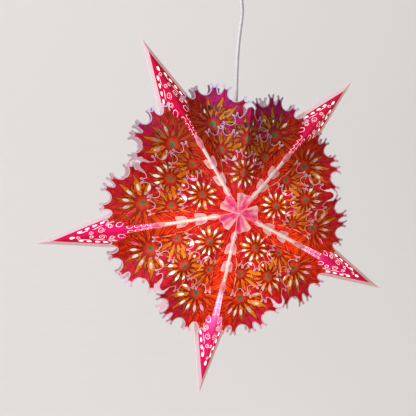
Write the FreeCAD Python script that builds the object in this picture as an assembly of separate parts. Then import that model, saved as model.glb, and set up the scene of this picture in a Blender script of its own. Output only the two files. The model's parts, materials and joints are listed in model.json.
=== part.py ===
"""Hanging five-armed star lantern of folded, die-cut card, lit by a bulb on a white flex.

Millimetres, Z up. The origin is the middle of the ceiling rose's back face, the flex runs straight
down the Z axis, and the star faces -Y. Card pieces are drawn flat, as seen from the front, and cut
through folded slabs of card, so every outline below is a view along Y.
"""
import FreeCAD, Part
import math
import os
from FreeCAD import Vector

# Star
ARM_COUNT = 5
STAR_RADIUS = 300.0        # centre to the tip of an arm
APEX_DEPTH = 80.0          # middle plane to the front point of the inner star
TIP_HALF_ANGLE = 13.3      # degrees between an arm's ridge and its side edge
STAR_ROLL = 6.4            # degrees that the star hangs turned clockwise, seen from the front
STAR_OFFSET = 6.5          # the star's centre hangs this far left of the flex
STAR_DROP = 385.0          # ceiling down to the star's centre
FIRST_RIDGE = 126.0        # degrees of the first arm, the upper left one
CARD = 0.5                 # thickness of the card, measured along Y
SEAM_GAP = 0.3             # glue line between two cards
APEX_HOLE = 5.0            # opening where the five inner arms meet

# Drop-shaped cut-outs of the arms, in a row along each side edge and one on the ridge
DROP_LENGTH = 9.2
DROP_WIDTH = 4.4
DROP_COUNT = 6
DROP_FIRST = 66.0          # tip of the arm to the first drop, along the side edge
DROP_PITCH = 12.2
DROP_IN = 8.7              # side edge to the middle of a drop
TIP_DROP_BACK = 49.0       # tip of the arm to the drop on the ridge
TIP_DROP_LENGTH = 9.5
TIP_DROP_WIDTH = 5.4

# Flower sheets, folded like a W between two ridges
CREASE_ANGLE = 14.8        # degrees from the ridge to the valley crease
CREASE_SLOPE = 0.37        # fall of the crease towards the middle plane, per length from the centre
SPINE_SLOPE = 0.175        # the same for the middle fold, which stands forward
RIDGE_STRIP = 3.5          # bare strip of the arm left beside its ridge
SHEET_INNER = 16.0
SHEET_RIDGE_END = 170.0    # corner beside the ridge, where the scalloped edge ends
SHEET_RIDGE_OFF = 7.0      # ridge to that corner
SHEET_RIDGE_TURN = 125.0   # from here inwards the sheet follows the ridge
SHEET_BLOOM = 138.7        # centre to the flower on the crease
SHEET_REACH = 65.0         # flower to the points of the edge
SHEET_TIPS = (-66.0, -34.0, -17.0, 12.0, 33.0)
SHEET_WINDOW_AT = 25.5     # flower to the middle of a petal's cut-out
SHEET_WINDOWS = (-104.0, -66.0, -33.0, -4.0, 20.0, 44.0)
SLOT_START = 92.0          # opening under the large leaf, on the middle fold
SLOT_HALF_WIDTH = 15.0
SLOT_MOUTH = 148.0
SLOT_MOUTH_HALF = 9.5
CREASE_SLOT_AT = 100.0     # opening under a crease leaf
CREASE_SLOT_LENGTH = 40.0
CREASE_SLOT_WIDTH = 11.0
HEART_SLOT_AT = 60.8       # opening under the small leaf
HEART_SLOT_LENGTH = 46.0
HEART_SLOT_WIDTH = 40.0

# Forked points and scallops of every flower edge
FORK_LENGTH = 12.5
FORK_SPREAD = 5.7          # half the width over the two points
FORK_FOOT = 4.5            # half the width where the fork leaves the edge
FORK_WAIST = 3.4           # half the width where its sides draw in
FORK_CLEFT = 5.0
PRONG = 3.3                # width of each rounded point
SCALLOP = 0.26             # depth of a scallop for its width
SCALLOP_LEAST = 3.5
LAST_SCALLOP = 0.22        # the scallop beside the ridge
NUB = 2.2                  # small point in the middle of a wide scallop
NUB_CHORD = 16.0           # scallops wider than this have one
SMALL_FORK = 0.72          # forks of the leaves against those of the sheets
WINDOW_LENGTH = 11.0
WINDOW_WIDTH = 4.4

# Raised leaves: flower's place, reach of the points, root, half width of the root, lift there and slope
LEAF_GAP = 0.9             # leaf's face in front of the sheet's face at its root
LEAF_WAIST = 0.08          # hollow of a leaf's sides for their length
LARGE_BLOOM = 112.6
LARGE_REACH = 43.0
LARGE_POINT = 50.0         # flower to the rounded end on the middle fold
LARGE_POINT_HALF = 6.5
LARGE_TIPS = (31.0, 64.0)
LARGE_SIDE = 97.0          # degrees of the leaf's widest corner
LARGE_SIDE_REACH = 40.0
LARGE_ROOT = 80.0
LARGE_ROOT_HALF = 12.0
LARGE_LIFT = 0.05
LARGE_WINDOW_AT = 21.0
LARGE_WINDOWS = (15.0, 45.0, 75.0)
CREASE_BLOOM = 97.2
CREASE_REACH = 37.0
CREASE_TIPS = (-50.0, -14.0, 22.0)
CREASE_ROOT = 62.0
CREASE_ROOT_HALF = 8.0
CREASE_LIFT = 0.07
HEART_BLOOM = 60.8
HEART_REACH = 36.0
HEART_TIPS = (20.0, 60.0)
HEART_SIDE = 113.0
HEART_SIDE_REACH = 25.0
HEART_HIP = 150.0
HEART_ROOT = 24.0
HEART_ROOT_HALF = 7.0
HEART_LIFT = 0.11
HEART_WINDOW_AT = 17.2
HEART_WINDOWS = (15.0, 45.0, 75.0, 105.0, 135.0, 165.0)
HEART_WINDOW_LENGTH = 8.4
HEART_WINDOW_WIDTH = 3.4

# Petal strips on the ridges and the rosette
STRIP_START = 27.0
STRIP_END = 132.0
STRIP_HALF = 2.0
STRIP_SLOPE = 0.3          # fall of a strip's two halves away from the ridge
STRIP_INNER_LEAF = (45.0, 4.4)   # end and half width of the plain leaf at its start
STRIP_OUTER_LEAF = (109.0, 4.2)  # start and half width of the plain leaf at its end
STRIP_PETALS = (47.0, 75.0)
STRIP_PETAL_LENGTH = 17.0
STRIP_PETAL_HALF = 9.5
STRIP_SHOULDER = (0.3, 0.75)     # places on a petal's two sides, as parts of its length and half width
STRIP_HOLLOW = (0.85, 0.55)
STRIP_RETURN = 0.8
ROSETTE_HUB = 8.0
ROSETTE_HOLE = 1.6
ROSETTE_TURN = 13.0        # degrees that the petals stand clockwise of the middle folds
ROSETTE_SLOPE = 0.12
ROSETTE_ROOT = 2.7         # half the width of a petal where it leaves the hub
ROSETTE_SWELL = (15.0, 8.2)      # place on a petal's side, along and across
ROSETTE_CORNER = (26.5, 10.5)    # the same for the corner of its end
ROSETTE_POINT = (30.5, 5.5)      # for the points of its end
ROSETTE_NOTCH = 28.8             # centre to the notch between the points

# Ceiling rose
ROSE_RADIUS = 36.0
ROSE_HEIGHT = 33.0
ROSE_WALL = 2.0
ROSE_FLOOR = 3.0
ROSE_RIM = 2.0             # ceiling down to the cover's rim
ROSE_SHOULDER = 14.0       # ceiling down to where the cover starts to round in
ROSE_FOOT_RADIUS = 15.0
ROSE_THROAT = 7.5
ROSE_FLARE = 11.0
BASE_THICKNESS = 8.0
BASE_CLEARANCE = 0.2       # cover's bore over the base
SCREW_SPACING = 40.0
SCREW_HOLE = 2.25
SCREW_HEAD = 4.5
SCREW_SINK = 3.0
POST_OFFSET = 20.0
POST_RADIUS = 3.4
POST_HEIGHT = 9.0
POST_BORE = 1.4
KNOT_RADIUS = 9.5
KNOT_CLEARANCE = 0.05

# Flex
FLEX_DIAMETER = 5.5
FLEX_GAP = 0.3
FLEX_NOTCH = 1.6           # room round the flex where it leaves the star

# Lampholder, from its top down
SEAT_GAP = 0.3             # star's top seam over the rim of the neck
NECK_RADIUS = 8.0
NECK_LENGTH = 9.0
CAP_RADIUS = 19.5
CAP_DOME = 11.0
CAP_SKIRT = 18.0
CAP_WALL = 2.0
BODY_RADIUS = 17.3
BODY_LENGTH = 36.0
BODY_BORE = 14.0
BODY_WEB = 5.0
BODY_IN_CAP = 12.0
THREAD_GAP = 0.2
RING_RADIUS = 22.0
RING_HEIGHT = 8.0
RING_BELOW_CAP = 2.5
RING_FLUTES = 18
RING_FLUTE_RADIUS = 1.6
SLEEVE_RADIUS = 12.1
SLEEVE_WALL = 0.7
SLEEVE_PROUD = 2.0         # sleeve below the body
SLEEVE_FLANGE = 1.2
BLOCK_HEIGHT = 11.0
BLOCK_GAP = 0.25
PLUNGER_RADIUS = 2.4
PLUNGER_OFFSET = 5.5
PLUNGER_GUIDE = 8.0        # length of plunger inside the block
PLUNGER_BORE_GAP = 0.08
PLUNGER_TRAVEL = 2.0
PLUNGER_ROUND = 0.8

# Bulb
BULB_CAP_RADIUS = 11.0
BULB_CAP_LENGTH = 25.0
BULB_CAP_ROLL = 1.8        # rounding of the cap's top edge
BULB_CAP_GAP = 4.0         # contact block to the bulb's cap
CONTACT_GAP = 0.2
PIN_RADIUS = 1.0
PIN_BELOW_TOP = 6.5
PIN_REACH = 13.2
PIN_ROOM = 0.3
BAYONET_TURN = 22.0        # degrees from the locked place to the way out
BULB_RADIUS = 30.0
BULB_LENGTH = 106.0
BULB_NECK_RADIUS = 10.8
BULB_NECK_CURVE = 1.6      # hollow of the neck's side
BULB_TURN = 38.0           # degrees over the globe's middle where the neck's side meets it
BULB_WALL = 1.0

FULL_TURN = 360.0
SECTOR = FULL_TURN / 2 / ARM_COUNT
EDGE = CARD + SEAM_GAP / 2
RIDGE_SLOPE = (APEX_DEPTH - EDGE) / STAR_RADIUS
FACET_SLOPE = RIDGE_SLOPE / math.tan(math.radians(TIP_HALF_ANGLE))
VALLEY_RADIUS = (STAR_RADIUS * math.sin(math.radians(TIP_HALF_ANGLE))
                 / math.sin(math.radians(TIP_HALF_ANGLE + SECTOR)))
PANEL_SLOPE = ((CREASE_SLOPE - RIDGE_SLOPE * math.cos(math.radians(CREASE_ANGLE)))
               / math.sin(math.radians(CREASE_ANGLE)))
SHEET_DEPTH = APEX_DEPTH - (FACET_SLOPE - PANEL_SLOPE) * RIDGE_STRIP + CARD + SEAM_GAP
CREASE = SECTOR - CREASE_ANGLE
FAR = STAR_RADIUS
FLEX_RADIUS = FLEX_DIAMETER / 2
SLEEVE_BORE = SLEEVE_RADIUS - SLEEVE_WALL
X_AXIS = Vector(1, 0, 0)
Y_AXIS = Vector(0, 1, 0)
Z_AXIS = Vector(0, 0, 1)
ORIGIN = Vector(0, 0, 0)
STAR_CENTRE = Vector(-STAR_OFFSET, 0, -STAR_DROP)


def polar(radius, degrees):
    """Point of the front view at a distance and an angle from the centre."""
    return Vector(radius * math.cos(math.radians(degrees)), 0, radius * math.sin(math.radians(degrees)))


def beside(start, degrees, along, side):
    """Point reached from start by going along a heading and then to its left."""
    return start + polar(along, degrees) + polar(side, degrees + 90)


class Outline:
    """A closed outline in the front view, drawn with lines and arcs."""

    def __init__(self, start):
        self.start = start
        self.here = start
        self.edges = []

    def line(self, point):
        self.edges.append(Part.LineSegment(self.here, point).toShape())
        self.here = point

    def arc(self, middle, point):
        self.edges.append(Part.Arc(self.here, middle, point).toShape())
        self.here = point

    def sunk(self, point, towards, depth):
        """Place halfway to a point, moved towards a flower's centre by a depth."""
        chord = point - self.here
        square = chord.cross(Y_AXIS).normalize()
        if square.dot(towards - self.here) < 0:
            square = square * -1
        return self.here + chord * 0.5 + square * depth

    def hollow(self, point, towards, ratio):
        """Arc that bulges towards a flower's centre, with a depth for its width."""
        depth = ratio * (point - self.here).Length
        self.arc(self.sunk(point, towards, depth), point)

    def scallop(self, point, towards):
        """Hollow between two forks: an arc, or two that meet in a small point where it is wide."""
        width = (point - self.here).Length
        depth = max(SCALLOP * width, SCALLOP_LEAST)
        if width < NUB_CHORD:
            self.arc(self.sunk(point, towards, depth), point)
            return
        for end in (self.sunk(point, towards, depth - NUB), point):
            self.arc(self.sunk(end, towards, (depth + NUB) / 2), end)

    def fork(self, centre, heading, reach, size):
        """Two rounded points on a waisted stem, from its right foot to its left one."""
        for back, side, end_back, end_side in (
            (FORK_LENGTH / 2, -FORK_WAIST, PRONG / 2, -FORK_SPREAD),
            (0, PRONG / 2 - FORK_SPREAD, PRONG / 2, PRONG - FORK_SPREAD),
            (FORK_CLEFT, 0, PRONG / 2, FORK_SPREAD - PRONG),
            (0, FORK_SPREAD - PRONG / 2, PRONG / 2, FORK_SPREAD),
            (FORK_LENGTH / 2, FORK_WAIST, FORK_LENGTH, FORK_FOOT),
        ):
            middle = beside(centre, heading, reach - back * size, side * size)
            self.arc(middle, beside(centre, heading, reach - end_back * size, end_side * size))

    def forks(self, centre, heading, tips, reach, size):
        """Forks round a flower, in rising angle, with scallops between them."""
        for number, tip in enumerate(tips):
            foot = beside(centre, heading + tip, reach - FORK_LENGTH * size, -FORK_FOOT * size)
            if number:
                self.scallop(foot, centre)
            else:
                self.line(foot)
            self.fork(centre, heading + tip, reach, size)

    def wire(self):
        self.line(self.start)
        return Part.Wire(self.edges)


def lens(centre, heading, length, width):
    """Pointed oval cut-out."""
    outline = Outline(beside(centre, heading, -length / 2, 0))
    end = beside(centre, heading, length / 2, 0)
    outline.arc(beside(centre, heading, 0, width / 2), end)
    outline.arc(beside(centre, heading, 0, -width / 2), outline.start)
    return Part.Wire(outline.edges)


def drop(centre, heading, length, width):
    """Cut-out with a round end, drawn out to a point along its heading by two tangents."""
    radius = width / 2
    middle = beside(centre, heading, radius - length / 2, 0)
    spread = math.degrees(math.acos(radius / (length - radius)))
    outline = Outline(beside(centre, heading, length / 2, 0))
    outline.line(middle + polar(radius, heading + spread))
    outline.arc(middle - polar(radius, heading), middle + polar(radius, heading - spread))
    return outline.wire()


def ring_of_lenses(centre, heading, angles, distance, length, width):
    return [lens(beside(centre, heading + a, distance, 0), heading + a, length, width) for a in angles]


def punched(wire, holes):
    """Outline with its holes as a prism through the whole depth of the star."""
    face = Part.makeFace([wire] + holes, "Part::FaceMakerBullseye")
    face.translate(Vector(0, -2 * APEX_DEPTH, 0))
    return face.extrude(Vector(0, 4 * APEX_DEPTH, 0))


class Fold:
    """A flat panel of card, given by its depth at the centre and its fall along two headings."""

    def __init__(self, depth, first, first_slope, second, second_slope):
        a = polar(1, first)
        b = polar(1, second)
        area = a.x * b.z - a.z * b.x
        self.depth = depth
        self.x = (first_slope * b.z - second_slope * a.z) / area
        self.z = (second_slope * a.x - first_slope * b.x) / area

    def lifted(self, heading, root, gap, slope):
        """The same panel hinged forward at a root line across a heading."""
        along = polar(1, heading)
        panel = Fold.__new__(Fold)
        panel.depth = self.depth + gap - slope * root
        panel.x = self.x - slope * along.x
        panel.z = self.z - slope * along.z
        return panel

    def y(self, point):
        return -self.depth + self.x * point.x + self.z * point.z

    def slab(self, corners):
        points = [Vector(p.x, self.y(p), p.z) for p in corners]
        return Part.Face(Part.makePolygon(points + points[:1])).extrude(Vector(0, CARD, 0))


def joined(first, *others):
    return first.multiFuse(list(others)).removeSplitter()


def mirrored_half(half):
    """A half that starts on the middle fold, joined to its reflection."""
    return joined(half, half.mirror(ORIGIN, Z_AXIS))


RIDGE_PANEL = Fold(SHEET_DEPTH, SECTOR, RIDGE_SLOPE, CREASE, CREASE_SLOPE)
SPINE_PANEL = Fold(SHEET_DEPTH, CREASE, CREASE_SLOPE, 0, SPINE_SLOPE)


def arm_card():
    """Front card of an arm, with its ridge along X: two facets with a row of drops along each edge."""
    valley = Vector(math.sin(math.radians(SECTOR)), 0, -math.cos(math.radians(SECTOR))) * (SEAM_GAP / 2)
    corner = polar(VALLEY_RADIUS, SECTOR)
    tip = Vector(STAR_RADIUS, 0, 0)
    outline = Outline(Vector(APEX_HOLE, 0, 0))
    outline.line(polar(APEX_HOLE, SECTOR) + valley)
    outline.line(corner + valley)
    outline.line(tip)
    holes = []
    inwards = FULL_TURN / 2 - TIP_HALF_ANGLE
    for number in range(DROP_COUNT):
        centre = beside(tip, inwards, DROP_FIRST + number * DROP_PITCH, DROP_IN)
        holes.append(drop(centre, inwards, DROP_LENGTH, DROP_WIDTH))
    facet = Fold(APEX_DEPTH, 0, RIDGE_SLOPE, 90, FACET_SLOPE)
    slab = facet.slab([ORIGIN, Vector(FAR, 0, 0), Vector(FAR, 0, FAR), Vector(0, 0, FAR)])
    card = mirrored_half(slab.common(punched(outline.wire(), holes)))
    place = Vector(STAR_RADIUS - TIP_DROP_BACK, 0, 0)
    return card.cut(punched(drop(place, FULL_TURN / 2, TIP_DROP_LENGTH, TIP_DROP_WIDTH), []))


def flower_sheet():
    """Sheet between two ridges, with its middle fold along X."""
    bloom = polar(SHEET_BLOOM, CREASE)
    outline = Outline(Vector(SHEET_INNER, 0, 0))
    outline.line(Vector(SLOT_START, 0, 0))
    middle = (SLOT_START + SLOT_MOUTH) / 2
    outline.arc(Vector(middle, 0, SLOT_HALF_WIDTH), Vector(SLOT_MOUTH, 0, SLOT_MOUTH_HALF))
    outline.forks(bloom, CREASE, SHEET_TIPS, SHEET_REACH, 1.0)
    outline.hollow(beside(ORIGIN, SECTOR, SHEET_RIDGE_END, -SHEET_RIDGE_OFF), bloom, LAST_SCALLOP)
    outline.line(beside(ORIGIN, SECTOR, SHEET_RIDGE_TURN, -RIDGE_STRIP))
    outline.line(beside(ORIGIN, SECTOR, SHEET_INNER, -RIDGE_STRIP))
    holes = ring_of_lenses(bloom, CREASE, SHEET_WINDOWS, SHEET_WINDOW_AT, WINDOW_LENGTH, WINDOW_WIDTH)
    holes.append(lens(polar(CREASE_SLOT_AT, CREASE), CREASE, CREASE_SLOT_LENGTH, CREASE_SLOT_WIDTH))
    heart = lens(polar(HEART_SLOT_AT, 0), 0, HEART_SLOT_LENGTH, HEART_SLOT_WIDTH)
    ridge_side = RIDGE_PANEL.slab([ORIGIN, polar(FAR, CREASE), polar(FAR, SECTOR)])
    spine_side = SPINE_PANEL.slab([ORIGIN, polar(FAR, 0), polar(FAR, CREASE)])
    half = joined(ridge_side, spine_side).common(punched(outline.wire(), holes))
    return mirrored_half(half.cut(punched(heart, [])))


def large_leaf():
    """Raised leaf on the middle fold, with a rounded end."""
    bloom = polar(LARGE_BLOOM, 0)
    end = LARGE_BLOOM + LARGE_POINT
    outline = Outline(Vector(LARGE_ROOT, 0, 0))
    outline.line(Vector(end, 0, 0))
    shoulder = Vector(end - LARGE_POINT_HALF, 0, LARGE_POINT_HALF)
    bulge = LARGE_POINT_HALF * math.sin(math.radians(45))
    outline.arc(Vector(end - LARGE_POINT_HALF + bulge, 0, bulge), shoulder)
    outline.forks(bloom, 0, LARGE_TIPS, LARGE_REACH, SMALL_FORK)
    outline.scallop(beside(bloom, LARGE_SIDE, LARGE_SIDE_REACH, 0), bloom)
    outline.hollow(Vector(LARGE_ROOT, 0, LARGE_ROOT_HALF), bloom, LEAF_WAIST)
    holes = ring_of_lenses(bloom, 0, LARGE_WINDOWS, LARGE_WINDOW_AT, WINDOW_LENGTH, WINDOW_WIDTH)
    panel = SPINE_PANEL.lifted(0, LARGE_ROOT, LEAF_GAP, LARGE_LIFT)
    slab = panel.slab([ORIGIN, Vector(FAR, 0, 0), Vector(FAR, 0, FAR), Vector(0, 0, FAR)])
    return mirrored_half(slab.common(punched(outline.wire(), holes)))


def crease_leaf():
    """Raised leaf folded on the crease above the middle fold."""
    bloom = polar(CREASE_BLOOM, CREASE)
    outline = Outline(beside(ORIGIN, CREASE, CREASE_ROOT, -CREASE_ROOT_HALF))
    outline.forks(bloom, CREASE, CREASE_TIPS, CREASE_REACH, SMALL_FORK)
    outline.hollow(beside(ORIGIN, CREASE, CREASE_ROOT, CREASE_ROOT_HALF), bloom, LEAF_WAIST)
    ridge_side = RIDGE_PANEL.lifted(CREASE, CREASE_ROOT, LEAF_GAP, CREASE_LIFT)
    spine_side = SPINE_PANEL.lifted(CREASE, CREASE_ROOT, LEAF_GAP, CREASE_LIFT)
    upper = ridge_side.slab([ORIGIN, polar(FAR, CREASE), polar(FAR, CREASE + 90)])
    lower = spine_side.slab([ORIGIN, polar(FAR, CREASE - 90), polar(FAR, CREASE)])
    return joined(upper, lower).common(punched(outline.wire(), []))


def heart_leaf():
    """Small raised leaf on the middle fold, near the rosette."""
    bloom = polar(HEART_BLOOM, 0)
    outline = Outline(Vector(HEART_ROOT, 0, 0))
    outline.line(bloom + Vector(HEART_REACH - FORK_LENGTH, 0, 0))
    outline.forks(bloom, 0, HEART_TIPS, HEART_REACH, SMALL_FORK)
    for turn in (HEART_SIDE, HEART_HIP):
        outline.line(beside(bloom, turn, HEART_SIDE_REACH, 0))
    outline.line(Vector(HEART_ROOT, 0, HEART_ROOT_HALF))
    holes = ring_of_lenses(bloom, 0, HEART_WINDOWS, HEART_WINDOW_AT,
                           HEART_WINDOW_LENGTH, HEART_WINDOW_WIDTH)
    panel = SPINE_PANEL.lifted(0, HEART_ROOT, LEAF_GAP, HEART_LIFT)
    slab = panel.slab([ORIGIN, Vector(FAR, 0, 0), Vector(FAR, 0, FAR), Vector(0, 0, FAR)])
    return mirrored_half(slab.common(punched(outline.wire(), holes)))


def leaf_set():
    """The four raised leaves of one valley."""
    crease = crease_leaf()
    return Part.makeCompound([large_leaf(), crease, crease.mirror(ORIGIN, Z_AXIS), heart_leaf()])


def strip_place(along, length, width):
    """Place on a strip's petal, as parts of its length and half width."""
    return Vector(along + STRIP_PETAL_LENGTH * length, 0, STRIP_PETAL_HALF * width)


def petal_strip():
    """Strip folded over an arm's ridge along X, with a plain leaf at each end and pairs of petals between."""
    inner_end, inner_half = STRIP_INNER_LEAF
    outer_start, outer_half = STRIP_OUTER_LEAF
    outline = Outline(Vector(STRIP_START, 0, 0))
    outline.arc(Vector((STRIP_START + inner_end) / 2, 0, inner_half), Vector(inner_end, 0, STRIP_HALF))
    for along in STRIP_PETALS:
        outline.line(Vector(along, 0, STRIP_HALF))
        shoulder = strip_place(along, *STRIP_SHOULDER)
        hollow = strip_place(along, *STRIP_HOLLOW)
        outline.arc(shoulder, strip_place(along, 1, 1))
        outline.arc(hollow, Vector(along + STRIP_PETAL_LENGTH * STRIP_RETURN, 0, STRIP_HALF))
    outline.line(Vector(outer_start, 0, STRIP_HALF))
    outline.arc(Vector((outer_start + STRIP_END) / 2, 0, outer_half), Vector(STRIP_END, 0, 0))
    panel = Fold(APEX_DEPTH + CARD + SEAM_GAP, 0, RIDGE_SLOPE, 90, STRIP_SLOPE)
    slab = panel.slab([ORIGIN, Vector(FAR, 0, 0), Vector(FAR, 0, FAR), Vector(0, 0, FAR)])
    return mirrored_half(slab.common(punched(outline.wire(), [])))


def rosette():
    """Five fan-shaped petals round a small hole, in front of the star's apex."""
    depth = APEX_DEPTH - RIDGE_SLOPE * APEX_HOLE + CARD + SEAM_GAP
    petals = []
    for number in range(ARM_COUNT):
        heading = FIRST_RIDGE - SECTOR - ROSETTE_TURN + number * 2 * SECTOR
        root = beside(ORIGIN, heading, ROSETTE_HUB / 2, -ROSETTE_ROOT)
        outline = Outline(root)
        outline.arc(beside(ORIGIN, heading, ROSETTE_SWELL[0], -ROSETTE_SWELL[1]),
                    beside(ORIGIN, heading, ROSETTE_CORNER[0], -ROSETTE_CORNER[1]))
        outline.line(beside(ORIGIN, heading, ROSETTE_POINT[0], -ROSETTE_POINT[1]))
        outline.line(beside(ORIGIN, heading, ROSETTE_NOTCH, 0))
        outline.line(beside(ORIGIN, heading, ROSETTE_POINT[0], ROSETTE_POINT[1]))
        outline.line(beside(ORIGIN, heading, ROSETTE_CORNER[0], ROSETTE_CORNER[1]))
        outline.arc(beside(ORIGIN, heading, ROSETTE_SWELL[0], ROSETTE_SWELL[1]),
                    beside(ORIGIN, heading, ROSETTE_HUB / 2, ROSETTE_ROOT))
        panel = Fold(depth + ROSETTE_SLOPE * ROSETTE_HUB / 2, heading, ROSETTE_SLOPE, heading + 90, 0)
        corners = ((0, -FAR), (FAR, -FAR), (FAR, FAR), (0, FAR))
        slab = panel.slab([beside(ORIGIN, heading, along, side) for along, side in corners])
        petals.append(slab.common(punched(outline.wire(), [])))
    hub = Part.makeCylinder(ROSETTE_HUB, CARD, Vector(0, -depth, 0), Y_AXIS)
    hole = Part.makeCylinder(ROSETTE_HOLE, 2 * APEX_DEPTH, Vector(0, -2 * APEX_DEPTH, 0), Y_AXIS)
    return joined(hub, *petals).cut(hole)


def hung(shape, heading, back):
    """Copy of a front piece turned to its heading on the star, or to the same place on the back."""
    copy = shape.copy()
    if back:
        copy.rotate(ORIGIN, X_AXIS, 180)
    copy.rotate(ORIGIN, Y_AXIS, STAR_ROLL - heading)
    copy.translate(STAR_CENTRE)
    return copy


def turned(points):
    """Solid turned about Z from places (radius, height), with (radius, height, "arc") for an arc's middle."""
    places = [Vector(p[0], 0, p[1]) for p in points]
    edges = []
    index = 0
    while index < len(points):
        following = (index + 1) % len(points)
        if len(points[following]) == 3:
            end = (index + 2) % len(points)
            edges.append(Part.Arc(places[index], places[following], places[end]).toShape())
            index += 2
        else:
            edges.append(Part.LineSegment(places[index], places[following]).toShape())
            index += 1
    return Part.Face(Part.Wire(edges)).revolve(ORIGIN, Z_AXIS, FULL_TURN)


def tube(outer, inner, low, high):
    return turned([(inner, low), (outer, low), (outer, high), (inner, high)])


def rod(radius, low, high, x=0, y=0):
    return Part.makeCylinder(radius, high - low, Vector(x, y, low))


KNOT_HEIGHT = -(ROSE_HEIGHT - ROSE_FLOOR) + math.sqrt(KNOT_RADIUS ** 2 - ROSE_THROAT ** 2) + KNOT_CLEARANCE
FLEX_TOP = KNOT_HEIGHT - KNOT_RADIUS - FLEX_GAP


def rose_base():
    base = rod(ROSE_RADIUS - ROSE_WALL - BASE_CLEARANCE, -BASE_THICKNESS, 0)
    for side in (-1, 1):
        x = side * SCREW_SPACING / 2
        base = base.cut(rod(SCREW_HOLE, -BASE_THICKNESS, 0, x))
        base = base.cut(rod(SCREW_HEAD, -BASE_THICKNESS, -BASE_THICKNESS + SCREW_SINK, x))
    return base


def rose_terminals():
    """Two brass posts under the base, each with a cross hole for a wire."""
    posts = []
    for side in (-1, 1):
        y = side * POST_OFFSET
        post = rod(POST_RADIUS, -BASE_THICKNESS - POST_HEIGHT, -BASE_THICKNESS, 0, y)
        middle = Vector(-POST_RADIUS, y, -BASE_THICKNESS - POST_HEIGHT / 2)
        posts.append(post.cut(Part.makeCylinder(POST_BORE, 2 * POST_RADIUS, middle, X_AXIS)))
    return Part.makeCompound(posts)


def rose_cover():
    """Domed cover with a flared throat, on which the knot sits."""
    inner = ROSE_RADIUS - ROSE_WALL
    floor = -(ROSE_HEIGHT - ROSE_FLOOR)
    bend = math.sin(math.radians(45))
    across = ROSE_RADIUS - ROSE_FOOT_RADIUS
    fall = ROSE_HEIGHT - ROSE_SHOULDER
    across_in = inner - ROSE_FOOT_RADIUS
    fall_in = -floor - ROSE_SHOULDER
    return turned([
        (ROSE_RADIUS, -ROSE_RIM),
        (inner, -ROSE_RIM),
        (inner, -ROSE_SHOULDER),
        (ROSE_FOOT_RADIUS + across_in * bend, -ROSE_SHOULDER - fall_in * bend, "arc"),
        (ROSE_FOOT_RADIUS, floor),
        (ROSE_THROAT, floor),
        (ROSE_FLARE, -ROSE_HEIGHT),
        (ROSE_FOOT_RADIUS, -ROSE_HEIGHT),
        (ROSE_FOOT_RADIUS + across * bend, -ROSE_SHOULDER - fall * bend, "arc"),
        (ROSE_RADIUS, -ROSE_SHOULDER),
    ])


def cord_knot():
    return Part.makeSphere(KNOT_RADIUS, Vector(0, 0, KNOT_HEIGHT))


def inner_depth(x, z):
    """Half the room inside the star at a place beside its centre, after its roll."""
    radius = math.hypot(x, z)
    angle = math.degrees(math.atan2(z, x)) + STAR_ROLL
    off = (angle - FIRST_RIDGE + SECTOR) % (2 * SECTOR) - SECTOR
    along = radius * math.cos(math.radians(off))
    side = abs(radius * math.sin(math.radians(off)))
    return APEX_DEPTH - CARD - RIDGE_SLOPE * along - FACET_SLOPE * side


def neck_room(height):
    """Least room between the neck's rim and the cards, at a height over the star's centre."""
    room = []
    for step in range(0, 360, 15):
        x = NECK_RADIUS * math.cos(math.radians(step))
        y = NECK_RADIUS * math.sin(math.radians(step))
        room.append(inner_depth(STAR_OFFSET + x, height) - abs(y))
    return min(room)


def seat_height():
    """Height over the star's centre at which the top seam rests on the neck's rim."""
    low = 0.0
    high = VALLEY_RADIUS
    lean = math.hypot(1, FACET_SLOPE)
    for halving in range(40):
        middle = (low + high) / 2
        if neck_room(middle) > SEAT_GAP * lean:
            low = middle
        else:
            high = middle
    return low


NECK_TOP = seat_height() - STAR_DROP
DOME_TOP = NECK_TOP - NECK_LENGTH
SKIRT_TOP = DOME_TOP - CAP_DOME
SKIRT_END = SKIRT_TOP - CAP_SKIRT
BODY_TOP = SKIRT_END + BODY_IN_CAP
WEB_FACE = BODY_TOP - BODY_WEB
BODY_END = BODY_TOP - BODY_LENGTH
SLEEVE_END = BODY_END - SLEEVE_PROUD
BLOCK_FACE = WEB_FACE - BLOCK_HEIGHT
BULB_TOP = BLOCK_FACE - BULB_CAP_GAP
PIN_HEIGHT = BULB_TOP - PIN_BELOW_TOP
BULB_SHOULDER = BULB_TOP - BULB_CAP_LENGTH


def flex_cord():
    cord = rod(FLEX_RADIUS, NECK_TOP, FLEX_TOP)
    length = FLEX_TOP - NECK_TOP
    print("flex length", round(length, 1), "volume", round(cord.Volume, 1),
          "section times length", round(math.pi * FLEX_RADIUS ** 2 * length, 1))
    return cord


def holder_cap():
    """Domed cap with the neck that grips the flex."""
    bend = math.sin(math.radians(45))
    rise = CAP_RADIUS - NECK_RADIUS
    inner = CAP_RADIUS - CAP_WALL
    ceiling = BODY_TOP + THREAD_GAP
    return turned([
        (0, NECK_TOP),
        (NECK_RADIUS, NECK_TOP),
        (NECK_RADIUS, DOME_TOP),
        (NECK_RADIUS + rise * bend, SKIRT_TOP + CAP_DOME * bend, "arc"),
        (CAP_RADIUS, SKIRT_TOP),
        (CAP_RADIUS, SKIRT_END),
        (inner, SKIRT_END),
        (inner, ceiling),
        (0, ceiling),
    ])


def holder_body():
    """Body with a web at its top, open below for the sleeve and the bulb."""
    return turned([
        (0, BODY_TOP),
        (BODY_RADIUS, BODY_TOP),
        (BODY_RADIUS, BODY_END),
        (BODY_BORE, BODY_END),
        (BODY_BORE, WEB_FACE),
        (0, WEB_FACE),
    ])


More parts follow.
